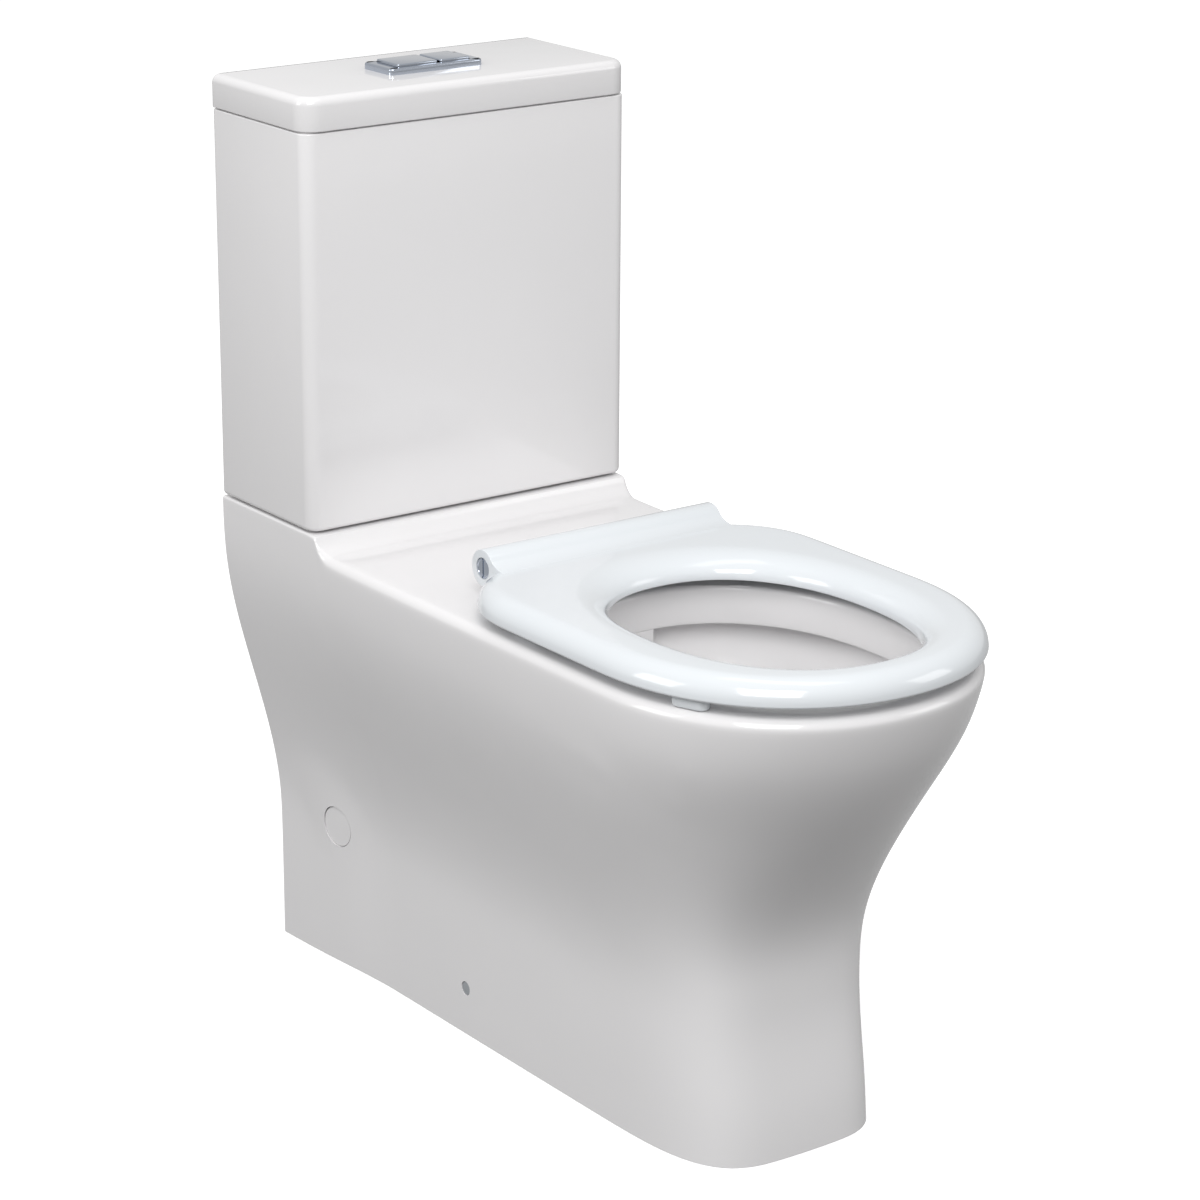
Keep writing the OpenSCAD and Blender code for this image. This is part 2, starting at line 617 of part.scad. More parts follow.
module side_caps() {
    color(PORCELAIN) on_side(side_cap_from_wall, side_cap_h) {
        translate([0, 0, -3.2]) cylinder(h = 3, d = side_cap_d - 0.6);
        tube(-skirt_wall - 4, -3, side_cap_d / 2 - 1, side_cap_d / 2 - 3);
        difference() {
            tube(-skirt_wall - 4, -skirt_wall - 2.5, side_cap_d / 2 - 0.4, side_cap_d / 2 - 2);
            translate([-30, -3, -skirt_wall - 6]) cube([60, 6, 5]);
        }
    }
}

// ---------------------------------------------------------------- side fixings

module floor_brackets() {
    face = foot_w / 2 - skirt_wall - 0.3;
    color(STEEL) for (s = SIDES) scale([s, 1, 1]) difference() {
        union() {
            at(fix_from_wall + 16, 0, face - 36) cube([36, 32, 5]);
            at(fix_from_wall + 16, 0, face - 6) cube([6, 32, fix_h + 16]);
        }
        at(fix_from_wall, fix_h, face - 20) along_x() cylinder(h = 40, d = 8.2);
        at(fix_from_wall, -5, face - 22) cylinder(h = 20, d = 9);
    }
}

module bracket_screws() {
    skin_x = foot_w / 2;
    color(STEEL) for (s = SIDES) scale([s, 1, 1]) at(fix_from_wall, fix_h, 0) along_x() {
        translate([0, 0, skin_x - skirt_wall - 22]) cylinder(h = 23, d = 8);
        translate([0, 0, skin_x - skirt_wall]) cylinder(h = 1.5, d = 15);
        translate([0, 0, skin_x - skirt_wall + 1]) cylinder(h = 5.5, d = 13, $fn = 6);
    }
}

module screw_caps() {
    skin_x = foot_w / 2;
    color(GREY_PLASTIC) for (s = SIDES) scale([s, 1, 1]) at(fix_from_wall, fix_h, 0) along_x() {
        translate([0, 0, skin_x - 2.4]) cylinder(h = 2.2, d = fix_hole_d - 0.3);
        tube(skin_x - 5, skin_x - 2, fix_hole_d / 2 - 0.5, fix_hole_d / 2 - 1.3);
    }
}

// ---------------------------------------------------------------- cistern

module cistern() {
    color(PORCELAIN) difference() {
        loft([for (s = [[0, 2], [2, 0], [tank_h - 1, 0], [tank_h, 1]])
            round_rect(tank_w - 2 * s[1], s[1] / 2, tank_d - s[1], tank_rear_r, tank_corner_r,
                       tank_z + s[0])]);
        loft([for (z = [floor_in, tank_top + 5])
            round_rect(tank_w - 2 * tank_wall, tank_wall, tank_d - tank_wall, tank_rear_r,
                       tank_corner_r - tank_wall + 2, z)]);
        at(valve_d, tank_z - 5) cylinder(h = 40, d = valve_shank_d + 1);
        at(valve_d, tank_z - 5, -inlet_x) cylinder(h = 40, d = inlet_shank_d + 1);
        for (s = SIDES) at(valve_d, tank_z - 5, s * bolt_spacing / 2) cylinder(h = 40, d = bolt_d + 2);
    }
}

module cistern_lid() {
    w = tank_w + 2 * lid_side;
    d = tank_d + lid_front;
    wall = lid_side + tank_wall + 3.5;
    inner = tank_w - 2 * tank_wall - 3;
    color(PORCELAIN) difference() {
        union() {
            difference() {
                loft(concat(
                    [round_rect(w - 1.6, 0.4, d - 0.8, 6, tank_corner_r + 1, lid_z),
                     round_rect(w, 0, d, 6, tank_corner_r + 1, lid_z + 0.8)],
                    [for (a = [0 : 15 : 90]) let (i = lid_edge_r * (1 - cos(a)))
                        round_rect(w - 2 * i, i / 3, d - i, 6, tank_corner_r + 1 - i / 2,
                                   lid_top - lid_edge_r * (1 - sin(a)))]));
                prism(w - 2 * wall, tank_wall + 3, tank_d - tank_wall - 3, 8, lid_z - 1, lid_top - lid_t);
            }
            difference() {
                prism(inner, tank_wall + 1.5, tank_d - tank_wall - 1.5, 9, lid_z - 6, lid_z + 6);
                prism(inner - 8, tank_wall + 5.5, tank_d - tank_wall - 5.5, 6, lid_z - 8, lid_z + 8);
            }
        }
        at(valve_d, lid_z) cylinder(h = 60, d = sleeve_d + 1);
    }
}

module cistern_gasket() {
    color(RUBBER) at(valve_d, 0) tube(shelf_h, tank_z, flush_inlet_d / 2 + 14, flush_inlet_d / 2 - 1.5);
}

module cistern_bolts() {
    color(STEEL) for (s = SIDES) at(valve_d, 0, s * bolt_spacing / 2) {
        translate([0, 0, shelf_under - 32]) cylinder(h = floor_in + 4 - shelf_under + 32, d = bolt_d);
        translate([0, 0, floor_in + 3]) cylinder(h = 5.5, d = 15, $fn = 6);
    }
}

module cistern_bolt_seals() {
    color(RUBBER) for (s = SIDES) at(valve_d, 0, s * bolt_spacing / 2)
        tube(floor_in, floor_in + 3, 12, bolt_d / 2 + 0.2);
}

module cistern_bolt_washers() {
    color(STEEL) for (s = SIDES) at(valve_d, 0, s * bolt_spacing / 2)
        tube(shelf_under - 2.5, shelf_under, 13, bolt_d / 2 + 0.3);
}

module cistern_wing_nuts() {
    top = shelf_under - 2.5;
    color(BRASS) for (s = SIDES) at(valve_d, 0, s * bolt_spacing / 2) difference() {
        union() {
            translate([0, 0, top - 10]) cylinder(h = 10, r1 = 7, r2 = 9);
            translate([-1.5, -18, top - 13]) cube([3, 36, 9]);
        }
        translate([0, 0, top - 20]) cylinder(h = 30, d = bolt_d + 0.1);
    }
}

// ---------------------------------------------------------------- button plate and buttons

module button_plate() {
    d0 = plate_from_wall - plate_d / 2;
    d1 = plate_from_wall + plate_d / 2;
    hole_w = buttons_w + 2 * button_clear;
    hole_d = button_d + 2 * button_clear;
    color(CHROME) difference() {
        loft([for (s = [[0, 0], [plate_t - 2.5, 0.4], [plate_t - 1, 0.9], [plate_t - 0.3, 1.8], [plate_t, 2.8]])
            round_rect(plate_w - 2 * s[1], d0 + s[1], d1 - s[1], 6 - s[1] / 2, 6 - s[1] / 2,
                       lid_top + s[0])]);
        prism(hole_w, plate_from_wall - hole_d / 2, plate_from_wall + hole_d / 2, 2.5, lid_top + 1.2, lid_top + 20);
        at(plate_from_wall, lid_top - 5) cylinder(h = 20, r = sleeve_d / 2 + 0.05);
    }
}

module button_sleeve() {
    color(GREY_PLASTIC) at(plate_from_wall, 0) tube(lid_z + 2, lid_top + 1.2, sleeve_d / 2, sleeve_d / 2 - 3);
}

module sleeve_nut() {
    top = lid_top - lid_t;
    color(GREY_PLASTIC) at(plate_from_wall, 0) {
        tube(top - 2, top, 29, sleeve_d / 2 + 0.05);
        difference() {
            translate([0, 0, top - 9]) cylinder(h = 8, r = 26, $fn = 8);
            translate([0, 0, top - 20]) cylinder(h = 30, r = sleeve_d / 2 + 0.05);
        }
    }
}

// A button of width w centred at x, with its stem and the socket for its rod at [rod_x, rod_d]
module button(w, mid, rod_x, rod_from_wall) {
    d0 = plate_from_wall - button_d / 2;
    d1 = plate_from_wall + button_d / 2;
    top = plate_top + button_proud;
    color(CHROME) difference() {
        union() {
            loft([for (s = [[button_z, 0], [top - 1.6, 0], [top - 0.7, 0.3], [top - 0.2, 0.9], [top, 1.8]])
                round_rect(w - 2 * s[1], d0 + s[1], d1 - s[1], 2.2, 2.2, s[0], mid)]);
            at(rod_from_wall, button_z - 24, rod_x) cylinder(h = 25, d = rod_d + 3);
        }
        at(rod_from_wall, button_z - 30, rod_x) cylinder(h = 28, r = rod_d / 2 + 0.05);
    }
}

buttons_w = full_button_w + button_gap + half_button_w;

module full_flush_button() {
    button(full_button_w, (full_button_w - buttons_w) / 2, -lever_arm, valve_d + lever_side);
}

module half_flush_button() {
    button(half_button_w, (buttons_w - half_button_w) / 2, lever_arm, valve_d - lever_side);
}

module push_rod(x, d) {
    color(GREY_PLASTIC) at(d, lever_z + 3 + contact, x)
        cylinder(h = button_z - 2 - lever_z - 3 - contact, d = rod_d);
}

module full_push_rod() {
    push_rod(-lever_arm, valve_d + lever_side);
}

module half_push_rod() {
    push_rod(lever_arm, valve_d - lever_side);
}

// ---------------------------------------------------------------- flush valve

module flush_valve_body() {
    plate_z = floor_in + valve_h - 6;
    color(VALVE_WHITE) at(valve_d, 0) difference() {
        union() {
            translate([0, 0, shelf_h - 14]) cylinder(h = floor_in + 6 - shelf_h + 14, d = valve_shank_d);
            translate([0, 0, floor_in]) cylinder(h = 6, r = 42);
            for (a = [45 : 90 : 315]) rotate([0, 0, a]) translate([33, -3, floor_in + 4])
                cube([6, 6, valve_h - 8]);
            translate([0, 0, plate_z]) cylinder(h = 6, r = 42);
            for (s = SIDES) translate([-5, s * (lever_side + 4.6) - 2, plate_z + 3])
                cube([10, 4, lever_z + 7 - plate_z - 3]);
        }
        translate([0, 0, shelf_h - 20]) cylinder(h = floor_in - shelf_h + 40, r = valve_shank_d / 2 - 7);
        translate([0, 0, plate_z - 5]) cylinder(h = 20, r = 3.05);
        translate([0, 30, lever_z]) rotate([90, 0, 0]) cylinder(h = 60, r = 2.5);
    }
}

module flush_valve_nut() {
    color(VALVE_WHITE) at(valve_d, 0) difference() {
        union() {
            translate([0, 0, tank_z - 10]) cylinder(h = 10, r = 40, $fn = 12);
            translate([0, 0, tank_z - 3]) cylinder(h = 3, r = 43);
        }
        translate([0, 0, tank_z - 20]) cylinder(h = 40, d = valve_shank_d + 0.1);
    }
}

module overflow_tube() {
    base = floor_in + 9;
    top = floor_in + valve_h - 14;
    color(VALVE_BLUE) at(valve_d, 0) {
        tube(base, top, overflow_d / 2, overflow_d / 2 - 2.5);
        tube(base, base + 4, 30, overflow_d / 2 - 2.5);
        translate([-overflow_d / 2 + 1, -2, top - 14]) cube([overflow_d - 2, 4, 12]);
        translate([0, 0, top - 10]) cylinder(h = lever_z + 13 - top + 10, r = 3);
        rotate([0, 0, -atan(lever_side / (lever_ratio * lever_arm))])
            translate([-21, -3, lever_z + 10]) cube([42, 6, 4]);
        translate([lever_ratio * lever_arm, -lever_side, lever_z + 3 + contact])
            cylinder(h = 11 - contact, r = 4);
    }
}

module valve_seal() {
    color(RUBBER) at(valve_d, 0) tube(floor_in + 6, floor_in + 9, 29, 16);
}

// A rocking lever in the upright plane at distance d, with its rod pad on the side s
module lever(d, s) {
    color(VALVE_WHITE) at(d - 2, lever_z) rotate([90, 0, 0]) difference() {
        union() {
            cylinder(h = 4, r = 6);
            translate([-s * lever_arm, 0, 0]) cylinder(h = 4, r = 3);
            translate([s * lever_ratio * lever_arm, 0, 0]) cylinder(h = 4, r = 3);
            translate([s > 0 ? -lever_arm : -lever_ratio * lever_arm, -2, 0])
                cube([(1 + lever_ratio) * lever_arm, 4, 4]);
        }
        translate([0, 0, -5]) cylinder(h = 14, r = 2.5 + pin_clear);
    }
}

module full_flush_lever() {
    lever(valve_d + lever_side, 1);
}

module half_flush_lever() {
    lever(valve_d - lever_side, -1);
}

module lever_pins() {
    color(STEEL) for (s = SIDES) at(valve_d - s * (lever_side - 2.5), lever_z) rotate([-90 * s, 0, 0])
        cylinder(h = 9.6, r = 2.5);
}

// ---------------------------------------------------------------- inlet valve

module inlet_valve_body() {
    color(VALVE_WHITE) at(valve_d, 0, -inlet_x) difference() {
        union() {
            translate([0, 0, shelf_under - 30]) cylinder(h = tank_z - shelf_under + 25, d = inlet_tail_d);
            translate([0, 0, tank_z - inlet_nut_t])
                cylinder(h = tank_floor + inlet_nut_t + 4, d = inlet_shank_d);
            translate([0, 0, floor_in + 2]) cylinder(h = 5, r = 19);
            translate([0, 0, floor_in + 5]) cylinder(h = lever_z + 5 - floor_in - 5, r = 14);
            translate([0, 0, lever_z]) cylinder(h = 18, r = 12);
            for (s = SIDES) translate([-5, s * 5.3 - 2, lever_z + 16]) cube([10, 4, 20]);
        }
        translate([0, 0, shelf_under - 40]) cylinder(h = floor_in - shelf_under + 60, r = 6);
        translate([0, 20, lever_z + 30]) rotate([90, 0, 0]) cylinder(h = 40, r = 2);
    }
}

module inlet_valve_washer() {
    color(RUBBER) at(valve_d, 0, -inlet_x) tube(floor_in, floor_in + 2, 18, inlet_shank_d / 2 + 0.2);
}

module inlet_valve_nut() {
    color(BRASS) at(valve_d, 0, -inlet_x) difference() {
        translate([0, 0, tank_z - inlet_nut_t]) cylinder(h = inlet_nut_t, r = 17, $fn = 6);
        translate([0, 0, tank_z - 20]) cylinder(h = 30, d = inlet_shank_d + 0.1);
    }
}

module inlet_float() {
    top = lever_z - 8 - float_travel;
    color(GREY_PLASTIC) at(valve_d, 0, -inlet_x) difference() {
        union() {
            translate([0, 0, top - float_h]) cylinder(h = float_h, d = float_d);
            translate([25, 0, top - 2]) cylinder(h = 37 - contact, r = 2);
        }
        translate([0, 0, top - float_h - 5]) cylinder(h = float_h + 10, r = 14 + pin_clear);
        translate([0, 0, top - float_h - 1]) difference() {
            cylinder(h = float_h - 4, d = float_d - 5);
            translate([0, 0, -1]) cylinder(h = float_h, r = 17);
        }
    }
}

module inlet_arm() {
    rest = asin(float_travel / 25);
    color(VALVE_BLUE) at(valve_d - 3, lever_z + 30, -inlet_x) rotate([90, rest, 0]) difference() {
        union() {
            cylinder(h = 6, r = 5);
            translate([0, -2, 0]) cube([25, 4, 6]);
            translate([25, 0, 0]) cylinder(h = 6, r = 3);
        }
        translate([0, 0, -5]) cylinder(h = 16, r = 2 + pin_clear);
    }
}

module inlet_arm_pin() {
    color(STEEL) at(valve_d - 8, lever_z + 30, -inlet_x) rotate([90, 0, 0]) cylinder(h = 16, r = 2);
}

// ---------------------------------------------------------------- seat and hinge

SEAT_NOSE_STEPS = 11;
seat_nose_len = projection - seat_mid_d + 4;
opening_front = projection - seat_front_w;
opening_mid = (seat_open_rear + opening_front) / 2;
opening_reach = (opening_front - seat_open_rear) / 2;
// The section: width of the outer round, share of the ring's width taken by the inner one, and their heights
outer_round_w = 21;
inner_share = 0.42;
outer_round_h = seat_t - 2.5;
inner_round_h = seat_t - 3.5;

// Right half of the seat's outline from the front tip to the middle of its rear edge, moved in by inset
function seat_half(inset) =
    let (half = seat_w / 2 - inset, start = seat_mid_d - 4, back = seat_rear + inset,
         r = seat_corner_r - inset)
    concat(
        [for (k = [0 : SEAT_NOSE_STEPS]) let (a = 90 - 90 * k / SEAT_NOSE_STEPS)
            [half * sq(cos(a), 2.12), start + (seat_nose_len - inset) * sq(sin(a), 2.12)]],
        [for (t = [0.25, 0.5, 0.75]) [half, mix(start, back + r, t)]],
        [for (a = [0 : 11.25 : 90]) [half - r * (1 - cos(a)), back + r * (1 - sin(a))]],
        [for (t = [0.35, 0.7, 1]) [(half - r) * (1 - t), back]]);
seat_guide = seat_half(0);
seat_last = len(seat_guide) - 1;
function opening_half(outset) = [for (q = seat_guide)
    let (b = atan2(q[0] / seat_open_w, (q[1] - opening_mid) / opening_reach / 2))
    [(seat_open_w / 2 + outset) * sq(sin(b), 2.25),
     opening_mid + (opening_reach + outset) * sq(cos(b), 2.25)]];
opening_guide = opening_half(0);
function both_sides(h) = concat(h, [for (k = [seat_last - 1 : -1 : 1]) [-h[k][0], h[k][1]]]);
function seat_row(half, z) = [for (p = both_sides(half)) place(p, z)];
// A row at a share of the way from the outline in to the opening
function between_row(share, z) =
    seat_row([for (k = [0 : seat_last]) mix(seat_guide[k], opening_guide[k], share)], z);
seat_rows = concat(
    [seat_row(seat_half(1.8), seat_z), seat_row(seat_guide, seat_z + 1.6)],
    [for (a = [9 : 13.5 : 90])
        seat_row(seat_half(outer_round_w * (1 - cos(a))), seat_top - outer_round_h * (1 - sin(a)))],
    [for (a = [90 : -18 : 0])
        between_row(1 - inner_share * (1 - cos(a)), seat_top - inner_round_h * (1 - sin(a)))],
    [seat_row(opening_guide, seat_z + 1.2), seat_row(opening_half(1.2), seat_z)]);

module hinge_axis() {
    at(hinge_from_wall, hinge_z) children();
}

module seat_shell() {
    n = len(seat_rows[0]);
    m = len(seat_rows);
    polyhedron(points = flat(seat_rows),
               faces = flat([for (k = [0 : m - 1]) cells(k * n, (k + 1) % m * n, n, true)]));
}

module seat_ring() {
    r = barrel_d / 2;
    low = seat_z - hinge_z + 3.5;
    high = seat_top - hinge_z;
    web = [[0, low], [40, low], [52, high - 0.3], [34, high + 0.4], [24, high + 1.4], [18, high + 3.1],
           [r * sin(55), r * cos(55)], [0, 0]];
    lean = seat_open_angle - 90 + 2;
    color(SEAT_WHITE) difference() {
        union() {
            seat_shell();
            hinge_axis() translate([-barrel_len / 2, 0, 0]) along_x() cylinder(h = barrel_len, r = r);
            hinge_axis() translate([-barrel_len / 2, 0, 0]) rotate([90, 0, 90])
                linear_extrude(barrel_len) polygon([for (p = web) [-p[0], p[1]]]);
        }
        for (s = SIDES) hinge_axis() scale([s, 1, 1]) {
            translate([hinge_spacing / 2 - post_w / 2 - 0.6, 0, 0]) {
                along_x() cylinder(h = post_w + 1.2, r = 12);
                rotate([90, 0, 90]) linear_extrude(post_w + 1.2)
                    polygon([[-9, 0], [-9, -40], [60, -40], [60, 9 + 60 * tan(lean)], [0, 9]]);
            }
            translate([hinge_spacing / 2 - 20, 0, 0]) along_x() cylinder(h = 90, r = pin_d / 2 + pin_clear);
            translate([barrel_len / 2 - 3, 0, 0]) along_x() cylinder(h = 20, r = pin_head_d / 2 + 0.3);
        }
    }
}

module hinge_pins() {
    end = barrel_len / 2 + 0.3;
    color(CHROME) for (s = SIDES) hinge_axis() scale([s, 1, 1]) difference() {
        union() {
            translate([hinge_spacing / 2 - 18, 0, 0]) along_x()
                cylinder(h = end - 1 - hinge_spacing / 2 + 18, d = pin_d);
            translate([end - 2.9, 0, 0]) along_x() cylinder(h = 2.9, d = pin_head_d);
        }
        translate([end - 1.6, -1.1, -20]) cube([5, 2.2, 40]);
    }
}

module hinge_posts() {
    color(CHROME) for (s = SIDES) difference() {
        at(hinge_from_wall, 0, s * hinge_spacing / 2) union() {
            translate([0, 0, deck_h]) cylinder(h = 4, r = 19);
            translate([-9, -7, deck_h + 2]) cube([18, 14, hinge_rise - 2]);
            translate([-post_w / 2, 0, hinge_z]) along_x() cylinder(h = post_w, r = 11);
            translate([0, 0, roof_h - 26]) cylinder(h = deck_t + 28, d = bolt_d);
        }
        at(hinge_from_wall, hinge_z, s * hinge_spacing / 2 - 30) along_x()
            cylinder(h = 60, r = pin_d / 2 + pin_clear);
    }
}

module hinge_washers() {
    color(RUBBER) for (s = SIDES) at(hinge_from_wall, 0, s * hinge_spacing / 2)
        tube(roof_h - 3, roof_h, 13, bolt_d / 2 + 0.3);
}

module hinge_nuts() {
    color(GREY_PLASTIC) for (s = SIDES) at(hinge_from_wall, 0, s * hinge_spacing / 2) difference() {
        union() {
            translate([0, 0, roof_h - 13]) cylinder(h = 10, r1 = 8, r2 = 11);
            translate([-1.5, -16, roof_h - 17]) cube([3, 32, 10]);
        }
        translate([0, 0, roof_h - 25]) cylinder(h = 40, d = bolt_d + 0.1);
    }
}

// One buffer centred at [x, d], turned by a, on each side
module buffer(x, d, a) {
    for (s = SIDES) scale([s, 1, 1]) at(d, deck_h + contact, x) rotate([0, 0, a]) {
        translate([-buffer_w / 2, -buffer_len / 2 + buffer_w / 2, 0])
            cube([buffer_w, buffer_len - buffer_w, seat_gap - contact]);
        for (t = SIDES) translate([0, t * (buffer_len - buffer_w) / 2, 0])
            cylinder(h = seat_gap - contact, d = buffer_w);
    }
}

module seat_buffers() {
    color(SEAT_WHITE) {
        buffer(seat_w / 2 - 31, projection - 108, 22);
        buffer(seat_w / 2 - 26, seat_open_rear + 20, 0);
    }
}

pan();
trapway();
outlet_spigot();
water_duct();
cistern();
cistern_lid();
seat_ring();
seat_buffers();
hinge_pins();
hinge_posts();
hinge_washers();
hinge_nuts();
button_plate();
button_sleeve();
sleeve_nut();
full_flush_button();
half_flush_button();
full_push_rod();
half_push_rod();
flush_valve_body();
flush_valve_nut();
cistern_gasket();
overflow_tube();
valve_seal();
full_flush_lever();
half_flush_lever();
lever_pins();
inlet_valve_body();
inlet_valve_nut();
inlet_valve_washer();
inlet_float();
inlet_arm();
inlet_arm_pin();
cistern_bolts();
cistern_bolt_seals();
cistern_bolt_washers();
cistern_wing_nuts();
side_caps();
floor_brackets();
bracket_screws();
screw_caps();
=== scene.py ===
"""Looks of a close-coupled back-to-wall toilet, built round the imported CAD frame.

Every size is in metres in the row frame: +Z up, the front towards -Y and the wall at y = WALL_Y.
Among the sizes, rear, front and names in _d are distances from the wall, bottom, top and names
in _z are heights above the floor, _x is a distance from the middle, _r a radius, _w a width,
_h a height, _t a thickness, and an edge is the radius of the round along it.
"""

import json
import logging
import math
from collections.abc import Callable, Iterator
from contextlib import contextmanager
from dataclasses import dataclass, field
from enum import Enum

import bmesh
import bpy
from bpy.types import Material, Node, NodeTree, Object
from mathutils import Matrix, Vector

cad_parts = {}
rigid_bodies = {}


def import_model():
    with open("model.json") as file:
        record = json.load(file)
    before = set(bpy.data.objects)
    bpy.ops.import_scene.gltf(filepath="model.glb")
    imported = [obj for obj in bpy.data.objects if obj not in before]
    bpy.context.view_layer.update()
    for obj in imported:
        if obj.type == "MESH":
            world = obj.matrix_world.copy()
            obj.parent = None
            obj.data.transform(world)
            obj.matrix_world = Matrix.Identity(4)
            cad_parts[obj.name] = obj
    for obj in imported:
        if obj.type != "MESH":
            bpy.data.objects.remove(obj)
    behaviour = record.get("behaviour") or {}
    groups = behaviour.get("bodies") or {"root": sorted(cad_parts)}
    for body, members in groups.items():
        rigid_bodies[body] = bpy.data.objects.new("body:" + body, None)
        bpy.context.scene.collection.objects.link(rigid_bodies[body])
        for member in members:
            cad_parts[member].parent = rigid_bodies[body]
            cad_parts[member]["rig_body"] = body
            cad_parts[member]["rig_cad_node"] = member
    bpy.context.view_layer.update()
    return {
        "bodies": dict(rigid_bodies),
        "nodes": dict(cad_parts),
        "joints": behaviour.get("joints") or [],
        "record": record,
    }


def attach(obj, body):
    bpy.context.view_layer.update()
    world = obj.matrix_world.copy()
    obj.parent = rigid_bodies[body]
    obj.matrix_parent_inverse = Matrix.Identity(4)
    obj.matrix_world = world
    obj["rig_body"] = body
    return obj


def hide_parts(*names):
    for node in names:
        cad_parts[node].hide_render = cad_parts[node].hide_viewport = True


LOG = logging.getLogger("toilet")
WALL_Y = 0.399
TINY = 1e-5
Pair = tuple[float, float]
Point = tuple[float, float, float]


class Slot(Enum):
    """A material slot of the CAD record."""

    PORCELAIN = "porcelain"
    SEAT = "seat_white"
    CHROME = "chrome"
    STEEL = "steel"
    BRASS = "brass"
    VALVE_WHITE = "valve_white"
    VALVE_BLUE = "valve_blue"
    GREY_PLASTIC = "grey_plastic"
    RUBBER = "rubber"


class Body(Enum):
    """A rigid body of the CAD frame."""

    FIXED = "fixed"
    LID = "lid"
    FULL_BUTTON = "full_button"
    HALF_BUTTON = "half_button"
    SEAT = "seat"


class Blend(Enum):
    """What a Boolean does with its tools."""

    CUT = "DIFFERENCE"
    ADD = "UNION"
    KEEP = "INTERSECT"


# ---------- finishes


def add_node(tree: NodeTree, kind: str, **values: float | tuple) -> Node:
    """Adds a node to a tree and sets its input sockets.

    Args:
        tree: node tree to add to.
        kind: type of the node.
        values: value of each socket, by name, with an underscore for a space.

    Returns:
        The new node.
    """
    node = tree.nodes.new(kind)
    for name, value in values.items():
        node.inputs[name.replace("_", " ")].default_value = value
    return node


def link(source: Node, output: str, target: Node, socket: str | int) -> None:
    """Joins two nodes of one tree.

    Args:
        source: node that gives the value.
        output: its output.
        target: node that takes the value.
        socket: its input.
    """
    source.id_data.links.new(source.outputs[output], target.inputs[socket])


@dataclass(frozen=True)
class Finish:
    """A surface built from a principled shader with noise in its colour, roughness and relief.

    Attributes:
        slot: record slot that the finish belongs to.
        colour: base colour, linear.
        roughness: mean roughness.
        metallic: 0 for glaze, plastic and rubber, 1 for metal.
        coat: weight of the clear layer on top.
        tint: how far the mottled colour departs from the base colour.
        ripple: height of the slow waves in the surface.
        ripple_size: waves per metre.
        grain: height of the fine texture.
        grain_size: fine cells per metre.
        sheen_spread: how far the roughness varies.
    """

    slot: Slot
    colour: tuple[float, float, float]
    roughness: float
    metallic: float = 0.0
    coat: float = 0.0
    tint: float = 0.02
    ripple: float = 0.0
    ripple_size: float = 9.0
    grain: float = 0.0
    grain_size: float = 900.0
    sheen_spread: float = 0.03

    def material(self) -> Material:
        """Makes the node material.

        Returns:
            A new material named after its slot.
        """
        mat = bpy.data.materials.new(f"{self.slot.value}_finish")
        mat.use_nodes = True
        shader = mat.node_tree.nodes["Principled BSDF"]
        shader.inputs["Metallic"].default_value = self.metallic
        shader.inputs["Coat Weight"].default_value = self.coat
        shader.inputs["Coat Roughness"].default_value = 0.03
        place = add_node(mat.node_tree, "ShaderNodeTexCoord")
        self._mottle(place, shader)
        self._relief(place, shader)
        return mat

    def _noise(self, place: Node, scale: float, detail: float) -> Node:
        """Adds a noise texture in object coordinates.

        Args:
            place: texture coordinate node.
            scale: cells per metre.
            detail: octaves of finer noise.

        Returns:
            The noise node.
        """
        noise = add_node(place.id_data, "ShaderNodeTexNoise", Scale=scale, Detail=detail)
        link(place, "Object", noise, "Vector")
        return noise

    def _mottle(self, place: Node, shader: Node) -> None:
        """Varies colour and roughness a little over the surface.

        Args:
            place: texture coordinate node.
            shader: principled shader to feed.
        """
        tree = place.id_data
        noise = self._noise(place, 14.0, 4.0)
        ramp = add_node(tree, "ShaderNodeValToRGB")
        ramp.color_ramp.elements[0].color = (*(c * (1 - self.tint) for c in self.colour), 1)
        ramp.color_ramp.elements[1].color = (*self.colour, 1)
        link(noise, "Fac", ramp, "Fac")
        link(ramp, "Color", shader, "Base Color")
        low, high = self.roughness - self.sheen_spread, self.roughness + self.sheen_spread
        spread = add_node(tree, "ShaderNodeMapRange", To_Min=max(0.02, low), To_Max=high)
        link(noise, "Fac", spread, "Value")
        link(spread, "Result", shader, "Roughness")

    def _relief(self, place: Node, shader: Node) -> None:
        """Adds the slow waves of the surface and the fine texture on top of them.

        Args:
            place: texture coordinate node.
            shader: principled shader to feed.
        """
        last = None
        for height, scale in ((self.ripple, self.ripple_size), (self.grain, self.grain_size)):
            if height <= 0:
                continue
            bump = add_node(place.id_data, "ShaderNodeBump", Strength=1.0, Distance=height)
            link(self._noise(place, scale, 1.0), "Fac", bump, "Height")
            if last is not None:
                link(last, "Normal", bump, "Normal")
            last = bump
        if last is not None:
            link(last, "Normal", shader, "Normal")


